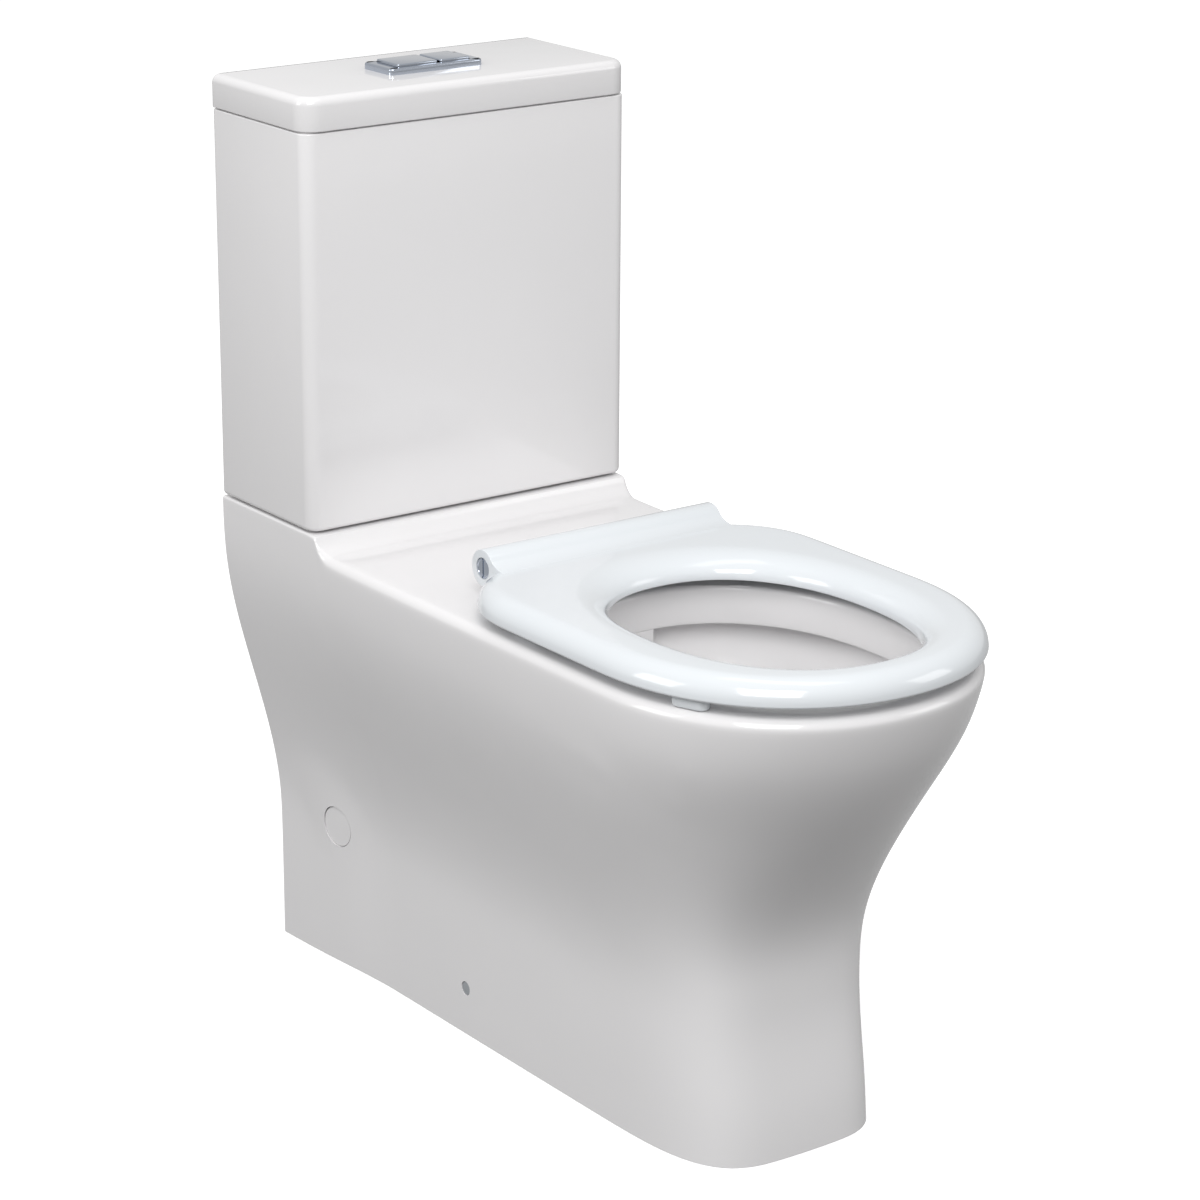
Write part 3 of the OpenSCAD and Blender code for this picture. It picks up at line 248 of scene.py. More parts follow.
FINISHES = (
    Finish(Slot.PORCELAIN, (0.79, 0.78, 0.785), 0.11, coat=0.25, tint=0.012, ripple=0.0006,
           ripple_size=11.0, grain=0.000004, grain_size=260.0),
    Finish(Slot.SEAT, (0.70, 0.73, 0.755), 0.13, coat=0.6, tint=0.01, ripple=0.0003,
           ripple_size=8.0, grain=0.000003, grain_size=1400.0),
    Finish(Slot.CHROME, (0.48, 0.52, 0.59), 0.07, metallic=1.0, tint=0.03, ripple=0.0001,
           ripple_size=30.0),
    Finish(Slot.STEEL, (0.48, 0.49, 0.50), 0.32, metallic=1.0, tint=0.12, grain=0.00002,
           grain_size=700.0),
    Finish(Slot.BRASS, (0.60, 0.43, 0.18), 0.28, metallic=1.0, tint=0.12, grain=0.00002,
           grain_size=600.0),
    Finish(Slot.VALVE_WHITE, (0.70, 0.72, 0.72), 0.42, tint=0.04, grain=0.00003),
    Finish(Slot.VALVE_BLUE, (0.05, 0.16, 0.36), 0.42, tint=0.08, grain=0.00003),
    Finish(Slot.GREY_PLASTIC, (0.34, 0.36, 0.38), 0.45, tint=0.05, grain=0.00003),
    Finish(Slot.RUBBER, (0.035, 0.035, 0.037), 0.7, tint=0.2, grain=0.00005, grain_size=700.0),
)


@dataclass
class Palette:
    """The finishes, made into materials once and handed out by slot."""

    made: dict[Slot, Material] = field(
        default_factory=lambda: {finish.slot: finish.material() for finish in FINISHES})

    def paint(self, obj: Object, slot: Slot) -> None:
        """Gives an object one material all over.

        Args:
            obj: piece or CAD node.
            slot: finish to use.
        """
        for s in obj.material_slots:
            s.material = self.made[slot]
        if not obj.material_slots:
            obj.data.materials.append(self.made[slot])

    def paint_frame(self, frame: dict) -> None:
        """Repaints every CAD node with the finish of its record slot.
        """
        slots = {s["node"]: Slot(s["material_slot"]) for s in frame["record"]["subparts"]}
        for name, node in frame["nodes"].items():
            self.paint(node, slots[name])


# ---------- modelling by operators


@dataclass
class Bench:
    """Edit-mode operators on one object, with parts of it selected by place or direction."""

    obj: Object

    @classmethod
    @contextmanager
    def on(cls, obj: Object) -> Iterator["Bench"]:
        """Opens an object in edit mode with nothing selected and closes it again.

        Args:
            obj: object to edit.

        Yields:
            The bench that holds it.
        """
        alone(obj)
        bpy.ops.object.mode_set(mode="EDIT")
        bpy.ops.mesh.select_all(action="DESELECT")
        yield cls(obj)
        bpy.ops.object.mode_set(mode="OBJECT")

    def _apply(self, kind: str, test: Callable) -> None:
        """Selects exactly the elements that pass a test.

        Args:
            kind: VERT, EDGE or FACE.
            test: called with each element.
        """
        bpy.ops.mesh.select_all(action="DESELECT")
        bpy.ops.mesh.select_mode(type=kind)
        mesh = bmesh.from_edit_mesh(self.obj.data)
        for part in {"VERT": mesh.verts, "EDGE": mesh.edges, "FACE": mesh.faces}[kind]:
            part.select_set(bool(test(part)))
        mesh.select_flush_mode()
        bmesh.update_edit_mesh(self.obj.data)

    def faces(self, test: Callable[[Vector, Vector], bool]) -> "Bench":
        """Selects faces by centre and normal.

        Args:
            test: called with a face's centre and normal.

        Returns:
            This bench.
        """
        self._apply("FACE", lambda f: test(f.calc_center_median(), f.normal))
        return self

    def edges(self, test: Callable[[Vector, Vector], bool]) -> "Bench":
        """Selects edges by their two ends.

        Args:
            test: called with an edge's two end points.

        Returns:
            This bench.
        """
        self._apply("EDGE", lambda e: test(e.verts[0].co, e.verts[1].co))
        return self

    def rims(self, test: Callable[[Vector], bool]) -> "Bench":
        """Selects edges whose two ends both pass a test.

        Args:
            test: called with each end point.

        Returns:
            This bench.
        """
        return self.edges(lambda a, b: test(a) and test(b))

    def everything(self) -> "Bench":
        """Selects the whole mesh.

        Returns:
            This bench.
        """
        bpy.ops.mesh.select_all(action="SELECT")
        return self

    def verts(self, test: Callable[[Vector], bool]) -> "Bench":
        """Selects vertices by place.

        Args:
            test: called with a vertex's place.

        Returns:
            This bench.
        """
        self._apply("VERT", lambda v: test(v.co))
        return self

    def bevel(self, width: float, segments: int, profile: float = 0.5,
              corners: bool = False) -> "Bench":
        """Rounds what is selected.

        Args:
            width: offset of the round.
            segments: number of strips.
            profile: shape of the round, 0.5 for a circle.
            corners: rounds vertices of a flat outline instead of edges.

        Returns:
            This bench.
        """
        bpy.ops.mesh.bevel(offset=width, offset_type="OFFSET", segments=segments, profile=profile,
                           affect="VERTICES" if corners else "EDGES", clamp_overlap=False)
        return self

    def inset(self, width: float) -> "Bench":
        """Insets the selected faces.

        Args:
            width: width of the new border.

        Returns:
            This bench.
        """
        bpy.ops.mesh.inset(thickness=width, depth=0.0, use_boundary=True)
        return self

    def move(self, way: Point) -> "Bench":
        """Moves what is selected.

        Args:
            way: displacement.

        Returns:
            This bench.
        """
        bpy.ops.transform.translate(value=way)
        return self

    def extrude(self, move: Point) -> "Bench":
        """Extrudes the selected region.

        Args:
            move: displacement of the new faces.

        Returns:
            This bench.
        """
        bpy.ops.mesh.extrude_region_move(TRANSFORM_OT_translate={"value": move})
        return self

    def scale(self, factor: Point, centre: Point) -> "Bench":
        """Scales what is selected about a point.

        Args:
            factor: factor along each axis.
            centre: fixed point.

        Returns:
            This bench.
        """
        bpy.ops.transform.resize(value=factor, center_override=centre)
        return self

    def close_holes(self) -> "Bench":
        """Fills each open loop with one face.

        Returns:
            This bench.
        """
        bpy.ops.mesh.select_mode(type="EDGE")
        mesh = bmesh.from_edit_mesh(self.obj.data)
        while open_edge := next((e for e in mesh.edges if e.is_boundary), None):
            bpy.ops.mesh.select_all(action="DESELECT")
            loop, queue = {open_edge}, [open_edge]
            while queue:
                for vert in queue.pop().verts:
                    fresh = [e for e in vert.link_edges if e.is_boundary and e not in loop]
                    loop.update(fresh)
                    queue.extend(fresh)
            for edge in loop:
                edge.select_set(True)
            bpy.ops.mesh.edge_face_add()
            mesh = bmesh.from_edit_mesh(self.obj.data)
        return self

    def outward(self) -> "Bench":
        """Turns every face's normal outwards.

        Returns:
            This bench.
        """
        self.everything()
        bpy.ops.mesh.normals_make_consistent(inside=False)
        return self


def alone(obj: Object) -> None:
    """Leaves one object selected and active.

    Args:
        obj: the object.
    """
    bpy.ops.object.select_all(action="DESELECT")
    obj.select_set(True)
    bpy.context.view_layer.objects.active = obj


def settle(obj: Object, name: str) -> Object:
    """Names an object and moves its place into its mesh.

    Args:
        obj: object that an operator has just made.
        name: new name.

    Returns:
        The same object.
    """
    obj.name = obj.data.name = name
    alone(obj)
    bpy.ops.object.transform_apply(location=True, rotation=True, scale=True)
    return obj


def add(operator: Callable, name: str, **options: object) -> Object:
    """Adds an object with an operator.

    Args:
        operator: operator that adds a primitive.
        name: name of the object.
        options: what the operator is called with.

    Returns:
        The new object, with its place in its mesh.
    """
    bpy.ops.object.select_all(action="DESELECT")
    operator(**options)
    return settle(bpy.context.object, name)


def block(name: str, low: Point, high: Point) -> Object:
    """Adds a cube between two corners.

    Args:
        name: name of the piece.
        low: lowest corner.
        high: highest corner.

    Returns:
        The new object.
    """
    middle = [(a + b) / 2 for a, b in zip(low, high)]
    size = [b - a for a, b in zip(low, high)]
    return add(bpy.ops.mesh.primitive_cube_add, name, size=1, location=middle, scale=size)


def rod(name: str, middle: Point, radius: float, length: float, sides: int = 48) -> Object:
    """Adds a cylinder that lies along x.

    Args:
        name: name of the piece.
        middle: its middle.
        radius: its radius.
        length: its length.
        sides: number of sides.

    Returns:
        The new object.
    """
    return add(bpy.ops.mesh.primitive_cylinder_add, name, vertices=sides, radius=radius,
               depth=length, location=middle, rotation=(0, math.pi / 2, 0))


def apply_modifiers(obj: Object) -> None:
    """Applies all of an object's modifiers in order.

    Args:
        obj: the object.
    """
    alone(obj)
    for modifier in list(obj.modifiers):
        bpy.ops.object.modifier_apply(modifier=modifier.name)


def subdivide(obj: Object) -> None:
    """Subdivides a mesh smoothly, twice.

    Args:
        obj: object to subdivide.
    """
    smooth = obj.modifiers.new("smooth", "SUBSURF")
    smooth.levels = smooth.render_levels = 2
    apply_modifiers(obj)


def combine(obj: Object, tools: list[Object], blend: Blend) -> None:
    """Applies one Boolean for each tool and removes the tools.

    Args:
        obj: object to change.
        tools: closed solids.
        blend: what to do with them.
    """
    for tool in tools:
        step = obj.modifiers.new(blend.name, "BOOLEAN")
        step.operation = blend.value
        step.solver = "EXACT"
        step.object = tool
    apply_modifiers(obj)
    for tool in tools:
        bpy.data.objects.remove(tool)


def copy_of(obj: Object, name: str) -> Object:
    """Copies an object with its mesh.

    Args:
        obj: object to copy.
        name: name of the copy.

    Returns:
        The copy, selected and active.
    """
    alone(obj)
    bpy.ops.object.duplicate()
    piece = bpy.context.object
    piece.name = piece.data.name = name
    return piece


def join(obj: Object, others: list[Object]) -> None:
    """Joins objects into one without cutting them.

    Args:
        obj: object to join to.
        others: objects to take in.
    """
    alone(obj)
    for other in others:
        other.select_set(True)
    bpy.ops.object.join()


def y_at(d: float) -> float:
    """Row y of a distance from the wall.

    Args:
        d: distance from the wall.

    Returns:
        The y coordinate.
    """
    return WALL_Y - d


# ---------- sub-assemblies


@dataclass
class Assembly:
    """A group of visible pieces that shares the palette.

    Attributes:
        palette: finishes to use.
    """

    palette: Palette

    def place(self, obj: Object, sharp: float, body: Body, slot: Slot, *nodes: str) -> None:
        """Shades a finished piece and hands it to the frame.

        Args:
            obj: the piece.
            sharp: angle above which an edge stays sharp, in degrees.
            body: body that it rides on.
            slot: its finish.
            nodes: CAD nodes that it stands for.
        """
        alone(obj)
        bpy.ops.object.shade_smooth_by_angle(angle=math.radians(sharp))
        self.palette.paint(obj, slot)
        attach(obj, body.value)
        if nodes:
            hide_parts(*nodes)
        LOG.info("made %s: %d faces", obj.name, len(obj.data.polygons))


@dataclass
class Cistern(Assembly):
    """The cistern body and its lid."""

    width: float = 0.356
    depth: float = 0.161
    bottom: float = 0.465
    top: float = 0.835
    wall: float = 0.009
    base: float = 0.013
    joint_h: float = 0.0013
    joint_in: float = 0.003
    foot_edge: float = 0.0045
    rim_edge: float = 0.0012
    front_radius: float = 0.013
    lid_radius: float = 0.020
    rear_radius: float = 0.006
    lid_side: float = 0.001
    lid_front: float = 0.002
    lid_bottom: float = 0.8353
    lid_top: float = 0.8663
    lid_edge: float = 0.008
    lid_lower_edge: float = 0.0009
    lid_wall: float = 0.014
    lid_skin: float = 0.008

    def build(self) -> None:
        """Makes both pieces."""
        self._body()
        self._lid()

    def _round_corners(self, bench: Bench, depth: float, front: float) -> None:
        """Rounds the upright edges of a box that stands against the wall.

        Args:
            bench: the open box.
            depth: depth of the box.
            front: radius of the front corners.
        """
        middle = y_at(depth / 2)
        bench.edges(lambda a, b: abs(a.z - b.z) > 0.01 and a.y < middle).bevel(front, 10)
        bench.edges(lambda a, b: abs(a.z - b.z) > 0.01 and a.y > middle + depth * 0.4
                    and abs(a.x) > self.width * 0.45)
        bench.bevel(self.rear_radius, 4)

    def _body(self) -> None:
        """Makes the hollow cistern body, with a narrow step that shows as a dark joint."""
        half = self.width / 2
        rim = self.top - self.joint_h
        piece = block("cistern_body", (-half, y_at(self.depth), self.bottom), (half, y_at(0), rim))
        with Bench.on(piece) as bench:
            self._round_corners(bench, self.depth, self.front_radius)
            bench.rims(lambda p: p.z < self.bottom + TINY).bevel(self.foot_edge, 5)
            bench.rims(lambda p: p.z > rim - TINY).bevel(self.rim_edge, 3)
            bench.faces(lambda c, n: n.z > 0.99 and c.z > rim - TINY).inset(self.joint_in)
            bench.extrude((0, 0, self.joint_h)).inset(self.wall - self.joint_in)
            bench.extrude((0, 0, self.bottom + self.base - self.top))
            bench.outward()
        self.place(piece, 35, Body.FIXED, Slot.PORCELAIN, "cistern")

    def _lid(self) -> None:
        """Makes the lid, which is hollow below."""
        half = self.width / 2 + self.lid_side
        depth = self.depth + self.lid_front
        piece = block("cistern_cover", (-half, y_at(depth), self.lid_bottom),
                      (half, y_at(0), self.lid_top))
        with Bench.on(piece) as bench:
            self._round_corners(bench, depth, self.lid_radius)
            bench.rims(lambda p: p.z > self.lid_top - TINY).bevel(self.lid_edge, 8)
            bench.rims(lambda p: p.z < self.lid_bottom + TINY).bevel(self.lid_lower_edge, 3)
            bench.faces(lambda c, n: n.z < -0.99 and c.z < self.lid_bottom + TINY)
            bench.inset(self.lid_wall)
            bench.extrude((0, 0, self.lid_top - self.lid_bottom - self.lid_skin))
            bench.outward()
        self.place(piece, 35, Body.LID, Slot.PORCELAIN, "cistern_lid")


@dataclass
class FlushPlate(Assembly):
    """The chrome plate with its two buttons."""

    width: float = 0.102
    depth: float = 0.048
    middle_d: float = 0.084
    bottom: float = 0.8663
    height: float = 0.006
    corner: float = 0.005
    edge: float = 0.0018
    floor: float = 0.0012
    full_w: float = 0.044
    half_w: float = 0.033
    button_depth: float = 0.037
    button_corner: float = 0.0022
    button_edge: float = 0.0012
    gap: float = 0.003
    clear: float = 0.0005
    proud: float = 0.0025
    button_bottom: float = 0.8709

    def build(self) -> None:
        """Makes the plate and both buttons."""
        self._plate()
        total = self.full_w + self.gap + self.half_w
        self._button("full_button_cap", -total / 2, self.full_w, Body.FULL_BUTTON,
                     "full_flush_button")
        self._button("half_button_cap", total / 2 - self.half_w, self.half_w, Body.HALF_BUTTON,
                     "half_flush_button")

    def _plate(self) -> None:
        """Makes the plate with the pocket for the buttons."""
        y = y_at(self.middle_d)
        top = self.bottom + self.height
        piece = block("flush_plate", (-self.width / 2, y - self.depth / 2, self.bottom),
                      (self.width / 2, y + self.depth / 2, top))
        pocket_w = self.full_w + self.half_w + self.gap + 2 * self.clear
        pocket_d = self.button_depth + 2 * self.clear
        rim_w, rim_d = self.width - 2 * self.corner, self.depth - 2 * self.corner
        with Bench.on(piece) as bench:
            bench.edges(lambda a, b: abs(a.z - b.z) > 0.002).bevel(self.corner, 6)
            bench.faces(lambda c, n: n.z > 0.99).inset(self.corner)
            bench.scale((pocket_w / rim_w, pocket_d / rim_d, 1), (0, y, top))
            bench.extrude((0, 0, self.floor - self.height))
            bench.edges(lambda a, b: min(a.z, b.z) > top - TINY
                        and (max(abs(a.x), abs(b.x)) > self.width / 2 - self.corner + 1e-4
                             or max(abs(a.y - y), abs(b.y - y)) > self.depth / 2 - 0.001))
            bench.bevel(self.edge, 5)
            bench.outward()
        self.place(piece, 30, Body.LID, Slot.CHROME, "button_plate")

    def _button(self, name: str, left: float, width: float, body: Body, node: str) -> None:
        """Makes one button.

        Args:
            name: name of the piece.
            left: x of its left side.
            width: its width.
            body: body that it rides on.
            node: CAD node that it stands for.
        """
        y = y_at(self.middle_d)
        top = self.bottom + self.height + self.proud
        piece = block(name, (left, y - self.button_depth / 2, self.button_bottom),
                      (left + width, y + self.button_depth / 2, top))
        with Bench.on(piece) as bench:
            bench.edges(lambda a, b: abs(a.z - b.z) > 0.001).bevel(self.button_corner, 5)
            bench.rims(lambda p: p.z > top - TINY).bevel(self.button_edge, 5)
            bench.outward()
        self.place(piece, 40, body, Slot.CHROME, node)


@dataclass(frozen=True)
class Bore:
    """A round hole in the pan.

    Attributes:
        place: a point on its axis.
        axis: direction of its axis.
        radius: its radius.
        reach: how far it runs from the point, both ways.
        shown: whether it is cut again after the skin has been smoothed.
    """

    place: Point
    axis: Point
    radius: float
    reach: float
    shown: bool = True

    def on_wall(self, point: Vector) -> bool:
        """Tells whether a point lies on the hole's wall.

        Args:
            point: the point.

        Returns:
            True on the wall.
        """
        line = Vector(self.axis).normalized()
        offset = point - Vector(self.place)
        along = offset.dot(line)
        return (abs(along) < self.reach
                and abs((offset - along * line).length - self.radius) < 0.0002)

    def plug(self, name: str) -> Object:
        """Makes a cylinder that fills the hole.

        Args:
            name: name of the cylinder.

        Returns:
            The new object.
        """
        turn = Vector(self.axis).to_track_quat("Z", "Y").to_euler()
        return add(bpy.ops.mesh.primitive_cylinder_add, name, vertices=96, radius=self.radius,
                   depth=2 * self.reach, location=self.place, rotation=turn)


@dataclass
class Pan(Assembly):
    """The pan: the CAD skin without its bores, made smooth, with the bores cut again."""

    cistern_d: float = 0.084
    shelf_z: float = 0.455
    bolt_x: float = 0.078
    hinge_x: float = 0.0775
    hinge_d: float = 0.3635
    screw_d: float = 0.304
    screw_z: float = 0.046
    cap_place: Point = (0.1106, 0.3022, 0.1431)
    cap_axis: Point = (0.9947, -0.0897, -0.0511)
    cap_r: float = 0.0197
    screw_cap_r: float = 0.0068
    screw_cap_t: float = 0.003
    screw_cap_gap: float = 0.0002
    screw_cap_edge: float = 0.0008
    screw_cap_in: float = 0.0021
    foot_half: float = 0.1075
    sharp: float = 50.0

    def bores(self) -> list[Bore]:
        """Lists the pan's round holes.

        Returns:
            The holes.
        """
        up, y, z = (0, 0, 1), y_at(self.cistern_d), self.shelf_z
        found = [
            Bore((0, y_at(0.462), 0.150), (0, 1, 0), 0.027, 0.050),  # trap
            Bore((0, y, z), up, 0.046, 0.020, False),  # flush valve
            Bore((-0.130, y, z), up, 0.020, 0.020, False),  # inlet valve
            Bore(self._screws(), (1, 0, 0), 0.008, 0.150, False),
        ]
        for side in (-1, 1):
            found.append(Bore((side * self.bolt_x, y, z), up, 0.0055, 0.020, False))
            found.append(Bore((side * self.hinge_x, y_at(self.hinge_d), 0.439), up, 0.005, 0.020))
            found.append(self._access(side, 0.0205, 0.030))
        return found

    def _access(self, side: int, radius: float, reach: float) -> Bore:
        """Describes a cylinder about an access hole's axis.

        Args:
            side: -1 for the left hole, 1 for the right one.
            radius: its radius.
            reach: how far it runs, both ways.

        Returns:
            The cylinder.
        """
        (px, py, pz), (ax, ay, az) = self.cap_place, self.cap_axis
        return Bore((side * px, py, pz), (side * ax, ay, az), radius, reach)

    def build(self, frame: dict) -> None:
        """Makes the pan.
        """
        piece = copy_of(frame["nodes"]["pan"], "pan_china")
        piece.parent = None
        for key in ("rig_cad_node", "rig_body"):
            del piece[key]
        bores = self.bores()
        with Bench.on(piece) as bench:
            bench.everything()
            bpy.ops.mesh.remove_doubles(threshold=TINY)
            bpy.ops.mesh.customdata_custom_splitnormals_clear()
            bench.verts(lambda p: any(bore.on_wall(p) for bore in bores))
            bpy.ops.mesh.delete(type="VERT")
            bench.close_holes().everything()
            bpy.ops.mesh.tris_convert_to_quads(face_threshold=math.radians(30),
                                               shape_threshold=math.radians(70))
            bpy.ops.mesh.select_all(action="DESELECT")
            bpy.ops.mesh.select_mode(type="EDGE")
            bpy.ops.mesh.edges_select_sharp(sharpness=math.radians(self.sharp))
            bpy.ops.transform.edge_crease(value=1.0)
        subdivide(piece)
        self._caps(piece)
        self._screw_caps()
        holes = [bore.plug(f"plug_{i}") for i, bore in enumerate(bores) if bore.shown]
        holes.insert(0, rod("screw_hole", self._screws(), self.screw_cap_r, 0.3, 64))
        combine(piece, holes, Blend.CUT)
        self.place(piece, 38, Body.FIXED, Slot.PORCELAIN, "pan")

    def _caps(self, pan: Object) -> None:
        """Cuts the two access caps out of the pan's skin, so that they lie flush with it.

        Args:
            pan: the pan before its holes are cut.
        """
        piece = copy_of(pan, "access_caps")
        discs = [self._access(side, self.cap_r, 0.005).plug(f"disc_{side}") for side in (-1, 1)]
        join(discs[0], discs[1:])
        combine(piece, [discs[0]], Blend.KEEP)
        self.place(piece, 38, Body.FIXED, Slot.PORCELAIN, "side_caps")

    def _screws(self) -> Point:
        """Returns the point midway between the floor screws."""
        return (0, y_at(self.screw_d), self.screw_z)

    def _screw_caps(self) -> None:
        """Makes the two small grey caps over the floor screws."""
        radius = self.screw_cap_r - self.screw_cap_gap
        first = rod("screw_plugs", self._screws(), radius, self.screw_cap_t, 64)
        with Bench.on(first) as bench:
            bench.edges(lambda a, b: abs(a.x - b.x) < 1e-6).bevel(self.screw_cap_edge, 4)
        second = copy_of(first, "screw_plugs")
        for obj, side in ((first, -1), (second, 1)):
            obj.location.x = side * (self.foot_half - self.screw_cap_in)
            settle(obj, "screw_plugs")
        join(first, [second])
        self.place(first, 40, Body.FIXED, Slot.GREY_PLASTIC, "screw_caps")


@dataclass(frozen=True)
class Oval:
    """A ring whose corners are rounded all the way, seen from above.

    Attributes:
        half: half its width.
        rear: distance from the wall to its back.
        front: distance from the wall to its front.
        height: its height.
    """

    half: float
    rear: float
    front: float
    height: float

    def centre(self) -> Point:
        """Returns its middle."""
        return (0.0, y_at((self.rear + self.front) / 2), self.height)

    def towards(self, other: "Oval", share: float, height: float) -> "Oval":
        """Blends it with another ring.

        Args:
            other: the other ring.
            share: 0 for this ring, 1 for the other.
            height: height of the new ring.

        Returns:
            The new ring.
        """
        pairs = (self.half, other.half), (self.rear, other.rear), (self.front, other.front)
        return Oval(*(a + (b - a) * share for a, b in pairs), height)

    def reach(self) -> float:
        """Returns half its length from back to front."""
        return (self.front - self.rear) / 2

    def outside(self, point: Vector, power: float, limit: float) -> bool:
        """Tells whether a point lies outside the ring.

        Args:
            point: the point.
            power: 2 for an ellipse, more for a squarer ring.
            limit: 1 for the ring itself, more for a larger ring about the same middle.

        Returns:
            True outside it.
        """
        x, y, _ = self.centre()
        across, along = abs(point.x - x) / self.half, abs(point.y - y) / self.reach()
        return across ** power + along ** power > limit


@dataclass
class Seat(Assembly):
    """The open seat with the hinge barrel along its rear edge."""

    half: float = 0.177
    rear: float = 0.359
    front: float = 0.798
    nose: float = 0.192
    corner: float = 0.098
    bottom: float = 0.4565
    top: float = 0.479
    foot: float = 0.0016
    tuck: Pair = (0.99, 0.992)  # factors across and along at the lower edge
    roll_w: float = 0.021
    roll_h: float = 0.020
    lip_h: float = 0.019
    hole_edge: float = 0.0012
    hole: Oval = Oval(0.1135, 0.450, 0.750, 0.460)
    crown: Oval = Oval(0.1402, 0.4118, 0.7702, 0.479)
    hinge_d: float = 0.3635
    hinge_z: float = 0.4755
    barrel_r: float = 0.017
    barrel_half: float = 0.127
    barrel_edge: float = 0.0007
    head_r: float = 0.0098
    post_x: float = 0.0775
    post_gap: float = 0.0232
    post_low: float = 0.04
    post_high: float = 0.009
    post_front: float = 0.009
    post_back: float = 0.06
    post_rise: float = 0.0267
    ramp_start: Pair = (0.0130, 0.0109)  # in front of the hinge axis, above it
    ramp_bend: Pair = (0.0193, 0.0034)
    ramp_end: Pair = (0.0380, 0.0030)
    ramp_t: float = 0.014
    hub_r: float = 0.012
    pin_r: float = 0.0095
    pin_t: float = 0.0028
    shaft_r: float = 0.005
    shaft_w: float = 0.065
    shaft_x: float = 0.092
    pin_in: float = 0.0002
    pin_edge: float = 0.0005
    slot_w: float = 0.0022
    slot_t: float = 0.0016
    pad: Point = (0.0155, 0.034, 0.0102)
    pad_z: float = 0.4463
    pad_corner: float = 0.0074
    pad_edge: float = 0.0022

    def build(self) -> None:
        """Makes the seat, its pins and its buffers."""
        shell = self._shell()
        barrel = self._barrel()
        self._post_slots(shell)
        self._post_slots(barrel)
        join(shell, [barrel])
        self.place(shell, 32, Body.SEAT, Slot.SEAT, "seat_ring")
        self._pins()
        self._buffers()

    def _outline(self) -> Object:
        """Makes the flat outline, a plane with round corners and its front drawn out.

        Returns:
            The new object, one flat face.
        """
        widest = self.front - self.nose
        back, tip = y_at(self.rear), y_at(widest + self.half)
        middle = (back + tip) / 2
        piece = add(bpy.ops.mesh.primitive_plane_add, "seat_shell", size=1,
                    location=(0, middle, self.bottom + self.foot))
        with Bench.on(piece) as bench:
            bench.everything().scale((2 * self.half, back - tip, 1), (0, middle, 0))
            bench.verts(lambda p: p.y > 0).bevel(self.corner, 8, corners=True)
            bench.verts(lambda p: p.y < tip + 1e-4).bevel(self.half, 16, 0.52, corners=True)
            bench.everything()
            bpy.ops.mesh.remove_doubles(threshold=1e-4)
            bpy.ops.mesh.delete(type="ONLY_FACE")
            bench.edges(lambda a, b: (a - b).length > 0.1 and min(abs(a.x), abs(b.x)) > 0.1)
            bpy.ops.mesh.subdivide(number_cuts=4)
            bench.edges(lambda a, b: (a - b).length > 0.1)
            bpy.ops.mesh.subdivide(number_cuts=5)
            bench.verts(lambda p: p.y < y_at(widest) - TINY)
            bench.scale((1, self.nose / self.half, 1), (0, y_at(widest), 0)).everything()
            bpy.ops.mesh.edge_face_add()
        return piece

    def _shell(self) -> Object:
        """Makes the ring: round outside, flat crown, round down into the opening.

        Returns:
            The new object.
        """
        piece = self._outline()
        steps = [math.radians(a) for a in range(0, 91, 10)]
        low, edge = self.bottom, self.top - self.roll_h
        foot, clear = low + self.foot, 1.35
        with Bench.on(piece) as bench:
            bench.faces(lambda c, n: True).extrude((0, 0, edge - foot))
            bench.faces(lambda c, n: c.z > edge - TINY and abs(n.z) > 0.9)
            for a, b in zip(steps, steps[1:]):
                bpy.ops.mesh.inset(thickness=self.roll_w * (math.cos(a) - math.cos(b)),
                                   depth=self.roll_h * (math.sin(b) - math.sin(a)))
            bpy.ops.mesh.delete(type="ONLY_FACE")
            bench.faces(lambda c, n: c.z < foot + 1e-4 and abs(n.z) > 0.9)
            bpy.ops.mesh.delete(type="ONLY_FACE")
            self._opening(bench, steps)
            bench.rims(lambda p: abs(p.z - foot) < TINY and self.hole.outside(p, 2, clear))
            bpy.ops.mesh.extrude_edges_move(TRANSFORM_OT_translate={"value": (0, 0, -self.foot)})
            bench.scale((*self.tuck, 1), Oval(self.half, self.rear, self.front, low).centre())
            bench.rims(lambda p: p.z < low + TINY)
            bpy.ops.mesh.bridge_edge_loops()
            bench.rims(lambda p: p.z < low + TINY and self.hole.outside(p, 2, clear))
            bpy.ops.transform.edge_crease(value=0.8)
            bench.outward()
        subdivide(piece)
        return piece

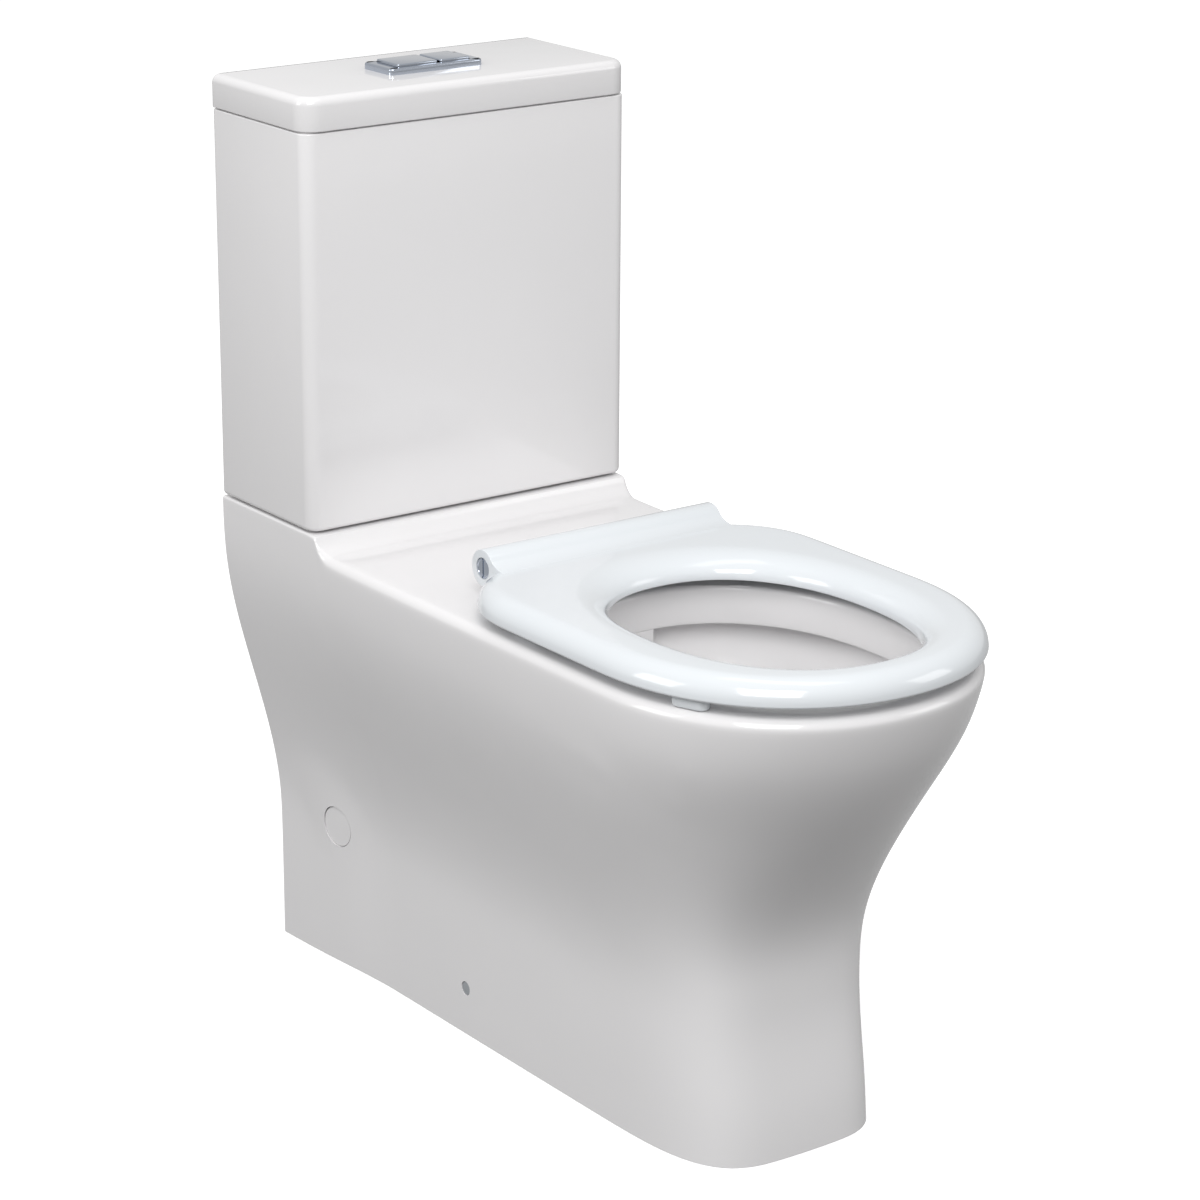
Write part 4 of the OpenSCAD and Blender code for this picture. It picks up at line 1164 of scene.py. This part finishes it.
    def _opening(self, bench: Bench, steps: list[float]) -> None:
        """Adds the crown's inner ring, joins it to the round and runs it down into the opening.

        Args:
            bench: the open shell.
            steps: angles of the round, from 0 to a quarter turn.
        """
        ring = self.crown
        x, y, z = ring.centre()
        bpy.ops.mesh.select_all(action="DESELECT")
        bpy.ops.mesh.primitive_plane_add(size=2 * ring.half, location=(x, y, z + 0.001))
        bpy.ops.mesh.select_mode(type="VERT")
        bench.bevel(ring.half, 16, 0.538, corners=True)
        bench.verts(lambda p: p.z > z + 0.0005)
        bpy.ops.mesh.remove_doubles(threshold=1e-4)
        bench.faces(lambda c, n: c.z > z + 0.0005)
        bpy.ops.mesh.delete(type="ONLY_FACE")
        bench.verts(lambda p: p.z > z + 0.0005)
        bench.scale((1, ring.reach() / ring.half, 1), (x, y, z)).move((0, 0, -0.001))
        bench.rims(lambda p: p.z > z - TINY)
        bpy.ops.mesh.bridge_edge_loops()
        bench.rims(lambda p: p.z > z - TINY and not ring.outside(p, 2.24, 1.03))
        for a in reversed(steps[:-1]):
            lip = self.top - self.lip_h * (1 - math.sin(a))
            ring = self._step(bench, ring, self.crown.towards(self.hole, math.cos(a), lip))
        for out, height in ((0.0, self.bottom + self.hole_edge), (self.hole_edge, self.bottom)):
            ring = self._step(bench, ring, Oval(self.hole.half + out, self.hole.rear - out,
                                                self.hole.front + out, height))

    def _step(self, bench: Bench, ring: Oval, nxt: Oval) -> Oval:
        """Extrudes the selected ring to the next one.

        Args:
            bench: the open shell.
            ring: ring that is selected.
            nxt: ring to reach.

        Returns:
            The ring reached.
        """
        start, end = Vector(ring.centre()), Vector(nxt.centre())
        bpy.ops.mesh.extrude_edges_move(TRANSFORM_OT_translate={"value": end - start})
        bench.scale((nxt.half / ring.half, nxt.reach() / ring.reach(), 1), nxt.centre())
        return nxt

    def _barrel(self) -> Object:
        """Makes the hinge barrel and the ramp that runs down from it to the seat.

        Returns:
            The new object.
        """
        axis = (0, y_at(self.hinge_d), self.hinge_z)
        piece = rod("barrel", axis, self.barrel_r, 2 * self.barrel_half, 96)
        ramp = self._ramp(axis)
        end = self.barrel_half - 1e-4
        for solid in (piece, ramp):
            with Bench.on(solid) as bench:
                bench.edges(lambda a, b: min(abs(a.x), abs(b.x)) > end and (a - b).length < 0.012)
                bench.bevel(self.barrel_edge, 3)
        combine(piece, [ramp], Blend.ADD)
        heads = [rod(f"head_{side}", (side * self.barrel_half, *axis[1:]), self.head_r, 0.006)
                 for side in (-1, 1)]
        combine(piece, heads, Blend.CUT)
        return piece

    def _ramp(self, axis: Point, steps: int = 16) -> Object:
        """Makes the ramp that runs down from the barrel to the seat.

        Args:
            axis: middle of the hinge axis.
            steps: number of strips along its curve.

        Returns:
            The new object.
        """
        first, last = self.ramp_start[0], self.ramp_end[0]
        middle = axis[1] - (first + last) / 2
        curve = list(zip(self.ramp_start, self.ramp_bend, self.ramp_end))
        ramp = add(bpy.ops.mesh.primitive_grid_add, "ramp", x_subdivisions=1,
                   y_subdivisions=steps, size=1, location=(0, middle, self.hinge_z))
        with Bench.on(ramp) as bench:
            bench.everything().scale((2 * self.barrel_half, last - first, 1), (0, middle, 0))
            for k in range(steps + 1):
                row, t = axis[1] - first - (last - first) * k / steps, k / steps
                reach, height = (a * (1 - t) ** 2 + 2 * b * t * (1 - t) + c * t ** 2
                                 for a, b, c in curve)
                bench.verts(lambda p, row=row: abs(p.y - row) < 2e-4
                            and abs(p.z - self.hinge_z) < 1e-6)
                bench.move((0, axis[1] - reach - row, height))
            bench.everything().extrude((0, 0, -self.ramp_t)).outward()
        return ramp

    def _post_slots(self, piece: Object) -> None:
        """Cuts the two slots that let the hinge posts through as the seat turns.

        Args:
            piece: object to cut.
        """
        y, z = y_at(self.hinge_d), self.hinge_z
        for side in (-1, 1):
            x0, x1 = side * self.post_x - self.post_gap / 2, side * self.post_x + self.post_gap / 2
            back = block("slot_back", (x0, y - 0.001, z - self.post_low),
                         (x1, y + self.post_back, z + self.post_high))
            with Bench.on(back) as bench:
                bench.verts(lambda p: p.y > y + 0.05 and p.z > z).move((0, 0, self.post_rise))
            front = block("slot_front", (x0, y - self.post_front, z - self.post_low), (x1, y, z))
            hub = rod("slot_hub", (side * self.post_x, y, z), self.hub_r, self.post_gap)
            for tool in (back, front, hub):
                combine(piece, [tool], Blend.CUT)

    def _pins(self) -> None:
        """Makes the slotted pin heads in the ends of the barrel."""
        y, z, end = y_at(self.hinge_d), self.hinge_z, self.barrel_half - self.pin_in
        for side, name in ((-1, "pin_left"), (1, "pin_right")):
            piece = rod(name, (side * (end - self.pin_t / 2), y, z), self.pin_r, self.pin_t, 64)
            with Bench.on(piece) as bench:
                bench.faces(lambda c, n: n.x * side > 0.9).inset(0.0016)
                bpy.ops.mesh.inset(thickness=0.0004, depth=-0.0005)
                bench.rims(lambda p: abs(p.x) > end - 1e-4
                           and math.hypot(p.y - y, p.z - z) > self.pin_r - 0.0002)
                bench.bevel(self.pin_edge, 3)
            slot = block("slot", (side * end - self.slot_t, y - self.slot_w / 2, z - 0.02),
                         (side * end + self.slot_t, y + self.slot_w / 2, z + 0.02))
            combine(piece, [slot], Blend.CUT)
            join(piece, [rod("shaft", (side * self.shaft_x, y, z), self.shaft_r, self.shaft_w)])
            self.place(piece, 40, Body.FIXED, Slot.CHROME, *(("hinge_pins",) if side < 0 else ()))

    def _buffers(self) -> None:
        """Makes one buffer and copies it to the other places."""
        (width, length, height), low = self.pad, self.pad_z
        first = block("pad", (-width / 2, -length / 2, low),
                      (width / 2, length / 2, low + height))
        with Bench.on(first) as bench:
            bench.edges(lambda a, b: abs(a.z - b.z) > 0.005).bevel(self.pad_corner, 8)
            bench.rims(lambda p: p.z < low + TINY).bevel(self.pad_edge, 5)
        copies = []
        for side in (-1, 1):
            for x, d, turn in ((self.half - 0.031, self.front - 0.108, 22.0),
                               (self.half - 0.026, self.hole.rear + 0.020, 0.0)):
                pad = copy_of(first, "seat_pads")
                pad.location = (side * x, y_at(d), 0)
                pad.rotation_euler = (0, 0, math.radians(-side * turn))
                copies.append(settle(pad, "seat_pads"))
        bpy.data.objects.remove(first)
        join(copies[0], copies[1:])
        self.place(copies[0], 40, Body.SEAT, Slot.SEAT, "seat_buffers")


# ---------- studio


@dataclass(frozen=True)
class View:
    """The camera that took the photograph.

    Attributes:
        place: its place.
        azimuth: turn about the upright axis, in degrees.
        pitch: angle below the horizon, in degrees.
        roll: turn about its own axis, in degrees.
        lens: focal length in mm on a 36 mm sensor.
        shift: offset of the picture in picture widths.
    """

    place: Point = (-1.8812, -2.53088, 1.46523)
    azimuth: float = -35.52
    pitch: float = 18.18
    roll: float = 0.12
    lens: float = 111.2
    shift: Pair = (0.03796, 0.00167)

    def build(self) -> None:
        """Makes the camera and makes it the scene's."""
        turn = (Matrix.Rotation(math.radians(self.azimuth), 3, "Z")
                @ Matrix.Rotation(math.radians(90 - self.pitch), 3, "X")
                @ Matrix.Rotation(math.radians(self.roll), 3, "Z"))
        bpy.ops.object.camera_add(location=self.place, rotation=turn.to_euler())
        camera = bpy.context.object
        camera.name = "view"
        camera.data.lens = self.lens
        camera.data.sensor_width = 36.0
        camera.data.shift_x, camera.data.shift_y = self.shift
        camera.data.clip_end = 50
        bpy.context.scene.camera = camera


@dataclass(frozen=True)
class Lamp:
    """An area lamp that looks at a point.

    Attributes:
        name: its name.
        place: its place.
        target: what it points at.
        size: width and height.
        power: watts.
    """

    name: str
    place: Point
    target: Point
    size: Pair
    power: float

    def build(self) -> None:
        """Makes the lamp."""
        aim = (Vector(self.target) - Vector(self.place)).to_track_quat("-Z", "Y").to_euler()
        bpy.ops.object.light_add(type="AREA", location=self.place, rotation=aim)
        lamp = bpy.context.object
        lamp.name = self.name
        lamp.data.shape = "RECTANGLE"
        lamp.data.size, lamp.data.size_y = self.size
        lamp.data.energy = self.power


@dataclass(frozen=True)
class Studio:
    """A white floor, a white surround and soft lamps.

    Attributes:
        lamps: the lamps.
        ambient: strength of the surround's light on the object.
        bounce: share of the light that the floor throws back.
        mirrored: how much of the white floor reflections see.
        glow: light that the floor adds for the camera.
        backdrop: strength of the surround for the camera.
    """

    lamps: tuple[Lamp, ...] = (
        Lamp("key", (-1.7, -1.9, 2.7), (0.0, 0.0, 0.5), (1.8, 1.8), 68.0),
        Lamp("fill", (3.0, -2.4, 2.0), (0.0, 0.0, 0.4), (1.6, 1.6), 16.0),
        Lamp("side", (-3.1, 0.9, 1.9), (0.0, 0.0, 0.6), (1.4, 1.6), 23.0),
        Lamp("top", (0.3, 0.0, 3.0), (0.0, -0.1, 0.4), (1.6, 0.7), 4.0),
    )
    ambient: float = 0.66
    bounce: float = 0.10
    mirrored: float = 0.35
    glow: float = 0.45
    backdrop: float = 1.05

    def build(self) -> None:
        """Makes the floor, the surround and the lamps."""
        for lamp in self.lamps:
            lamp.build()
        self._floor()
        self._world()
        bpy.context.scene.view_settings.view_transform = "Standard"

    def _floor(self) -> None:
        """Makes the floor: white to the eye, and dim in the light it throws back."""
        floor = add(bpy.ops.mesh.primitive_plane_add, "floor", size=60, location=(0, 0, -0.0004))
        mat = bpy.data.materials.new("floor_white")
        mat.use_nodes = True
        tree = mat.node_tree
        shader = tree.nodes["Principled BSDF"]
        shader.inputs["Base Color"].default_value = (0.9, 0.9, 0.9, 1)
        shader.inputs["Roughness"].default_value = 1.0
        shader.inputs["Specular IOR Level"].default_value = 0.0
        glow = add_node(tree, "ShaderNodeEmission", Strength=self.glow)
        both = add_node(tree, "ShaderNodeAddShader")
        link(shader, "BSDF", both, 0)
        link(glow, "Emission", both, 1)
        dim = add_node(tree, "ShaderNodeBsdfDiffuse", Color=(*[self.bounce] * 3, 1))
        path = add_node(tree, "ShaderNodeLightPath")
        seen = add_node(tree, "ShaderNodeMath")
        seen.operation = "MULTIPLY_ADD"
        seen.inputs[1].default_value = self.mirrored
        link(path, "Is Glossy Ray", seen, 0)
        link(path, "Is Camera Ray", seen, 2)
        mix = add_node(tree, "ShaderNodeMixShader")
        link(seen, "Value", mix, "Fac")
        link(dim, "BSDF", mix, 1)
        link(both, "Shader", mix, 2)
        link(mix, "Shader", tree.nodes["Material Output"], "Surface")
        floor.data.materials.append(mat)

    def _world(self) -> None:
        """Makes the surround: even light for the object and white for the camera."""
        world = bpy.data.worlds.new("surround")
        bpy.context.scene.world = world
        world.use_nodes = True
        tree, white = world.node_tree, (1, 1, 1, 1)
        light = tree.nodes["Background"]
        light.inputs["Color"].default_value = white
        light.inputs["Strength"].default_value = self.ambient
        backdrop = add_node(tree, "ShaderNodeBackground", Color=white, Strength=self.backdrop)
        mix = add_node(tree, "ShaderNodeMixShader")
        link(add_node(tree, "ShaderNodeLightPath"), "Is Camera Ray", mix, "Fac")
        link(light, "Background", mix, 1)
        link(backdrop, "Background", mix, 2)
        link(mix, "Shader", tree.nodes["World Output"], "Surface")


def main() -> None:
    """Builds the scene in order."""
    logging.basicConfig(level=logging.INFO, format="%(name)s: %(message)s")
    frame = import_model()
    View().build()
    Studio().build()
    palette = Palette()
    palette.paint_frame(frame)
    Pan(palette).build(frame)
    Cistern(palette).build()
    FlushPlate(palette).build()
    Seat(palette).build()


if __name__ == "__main__":
    main()
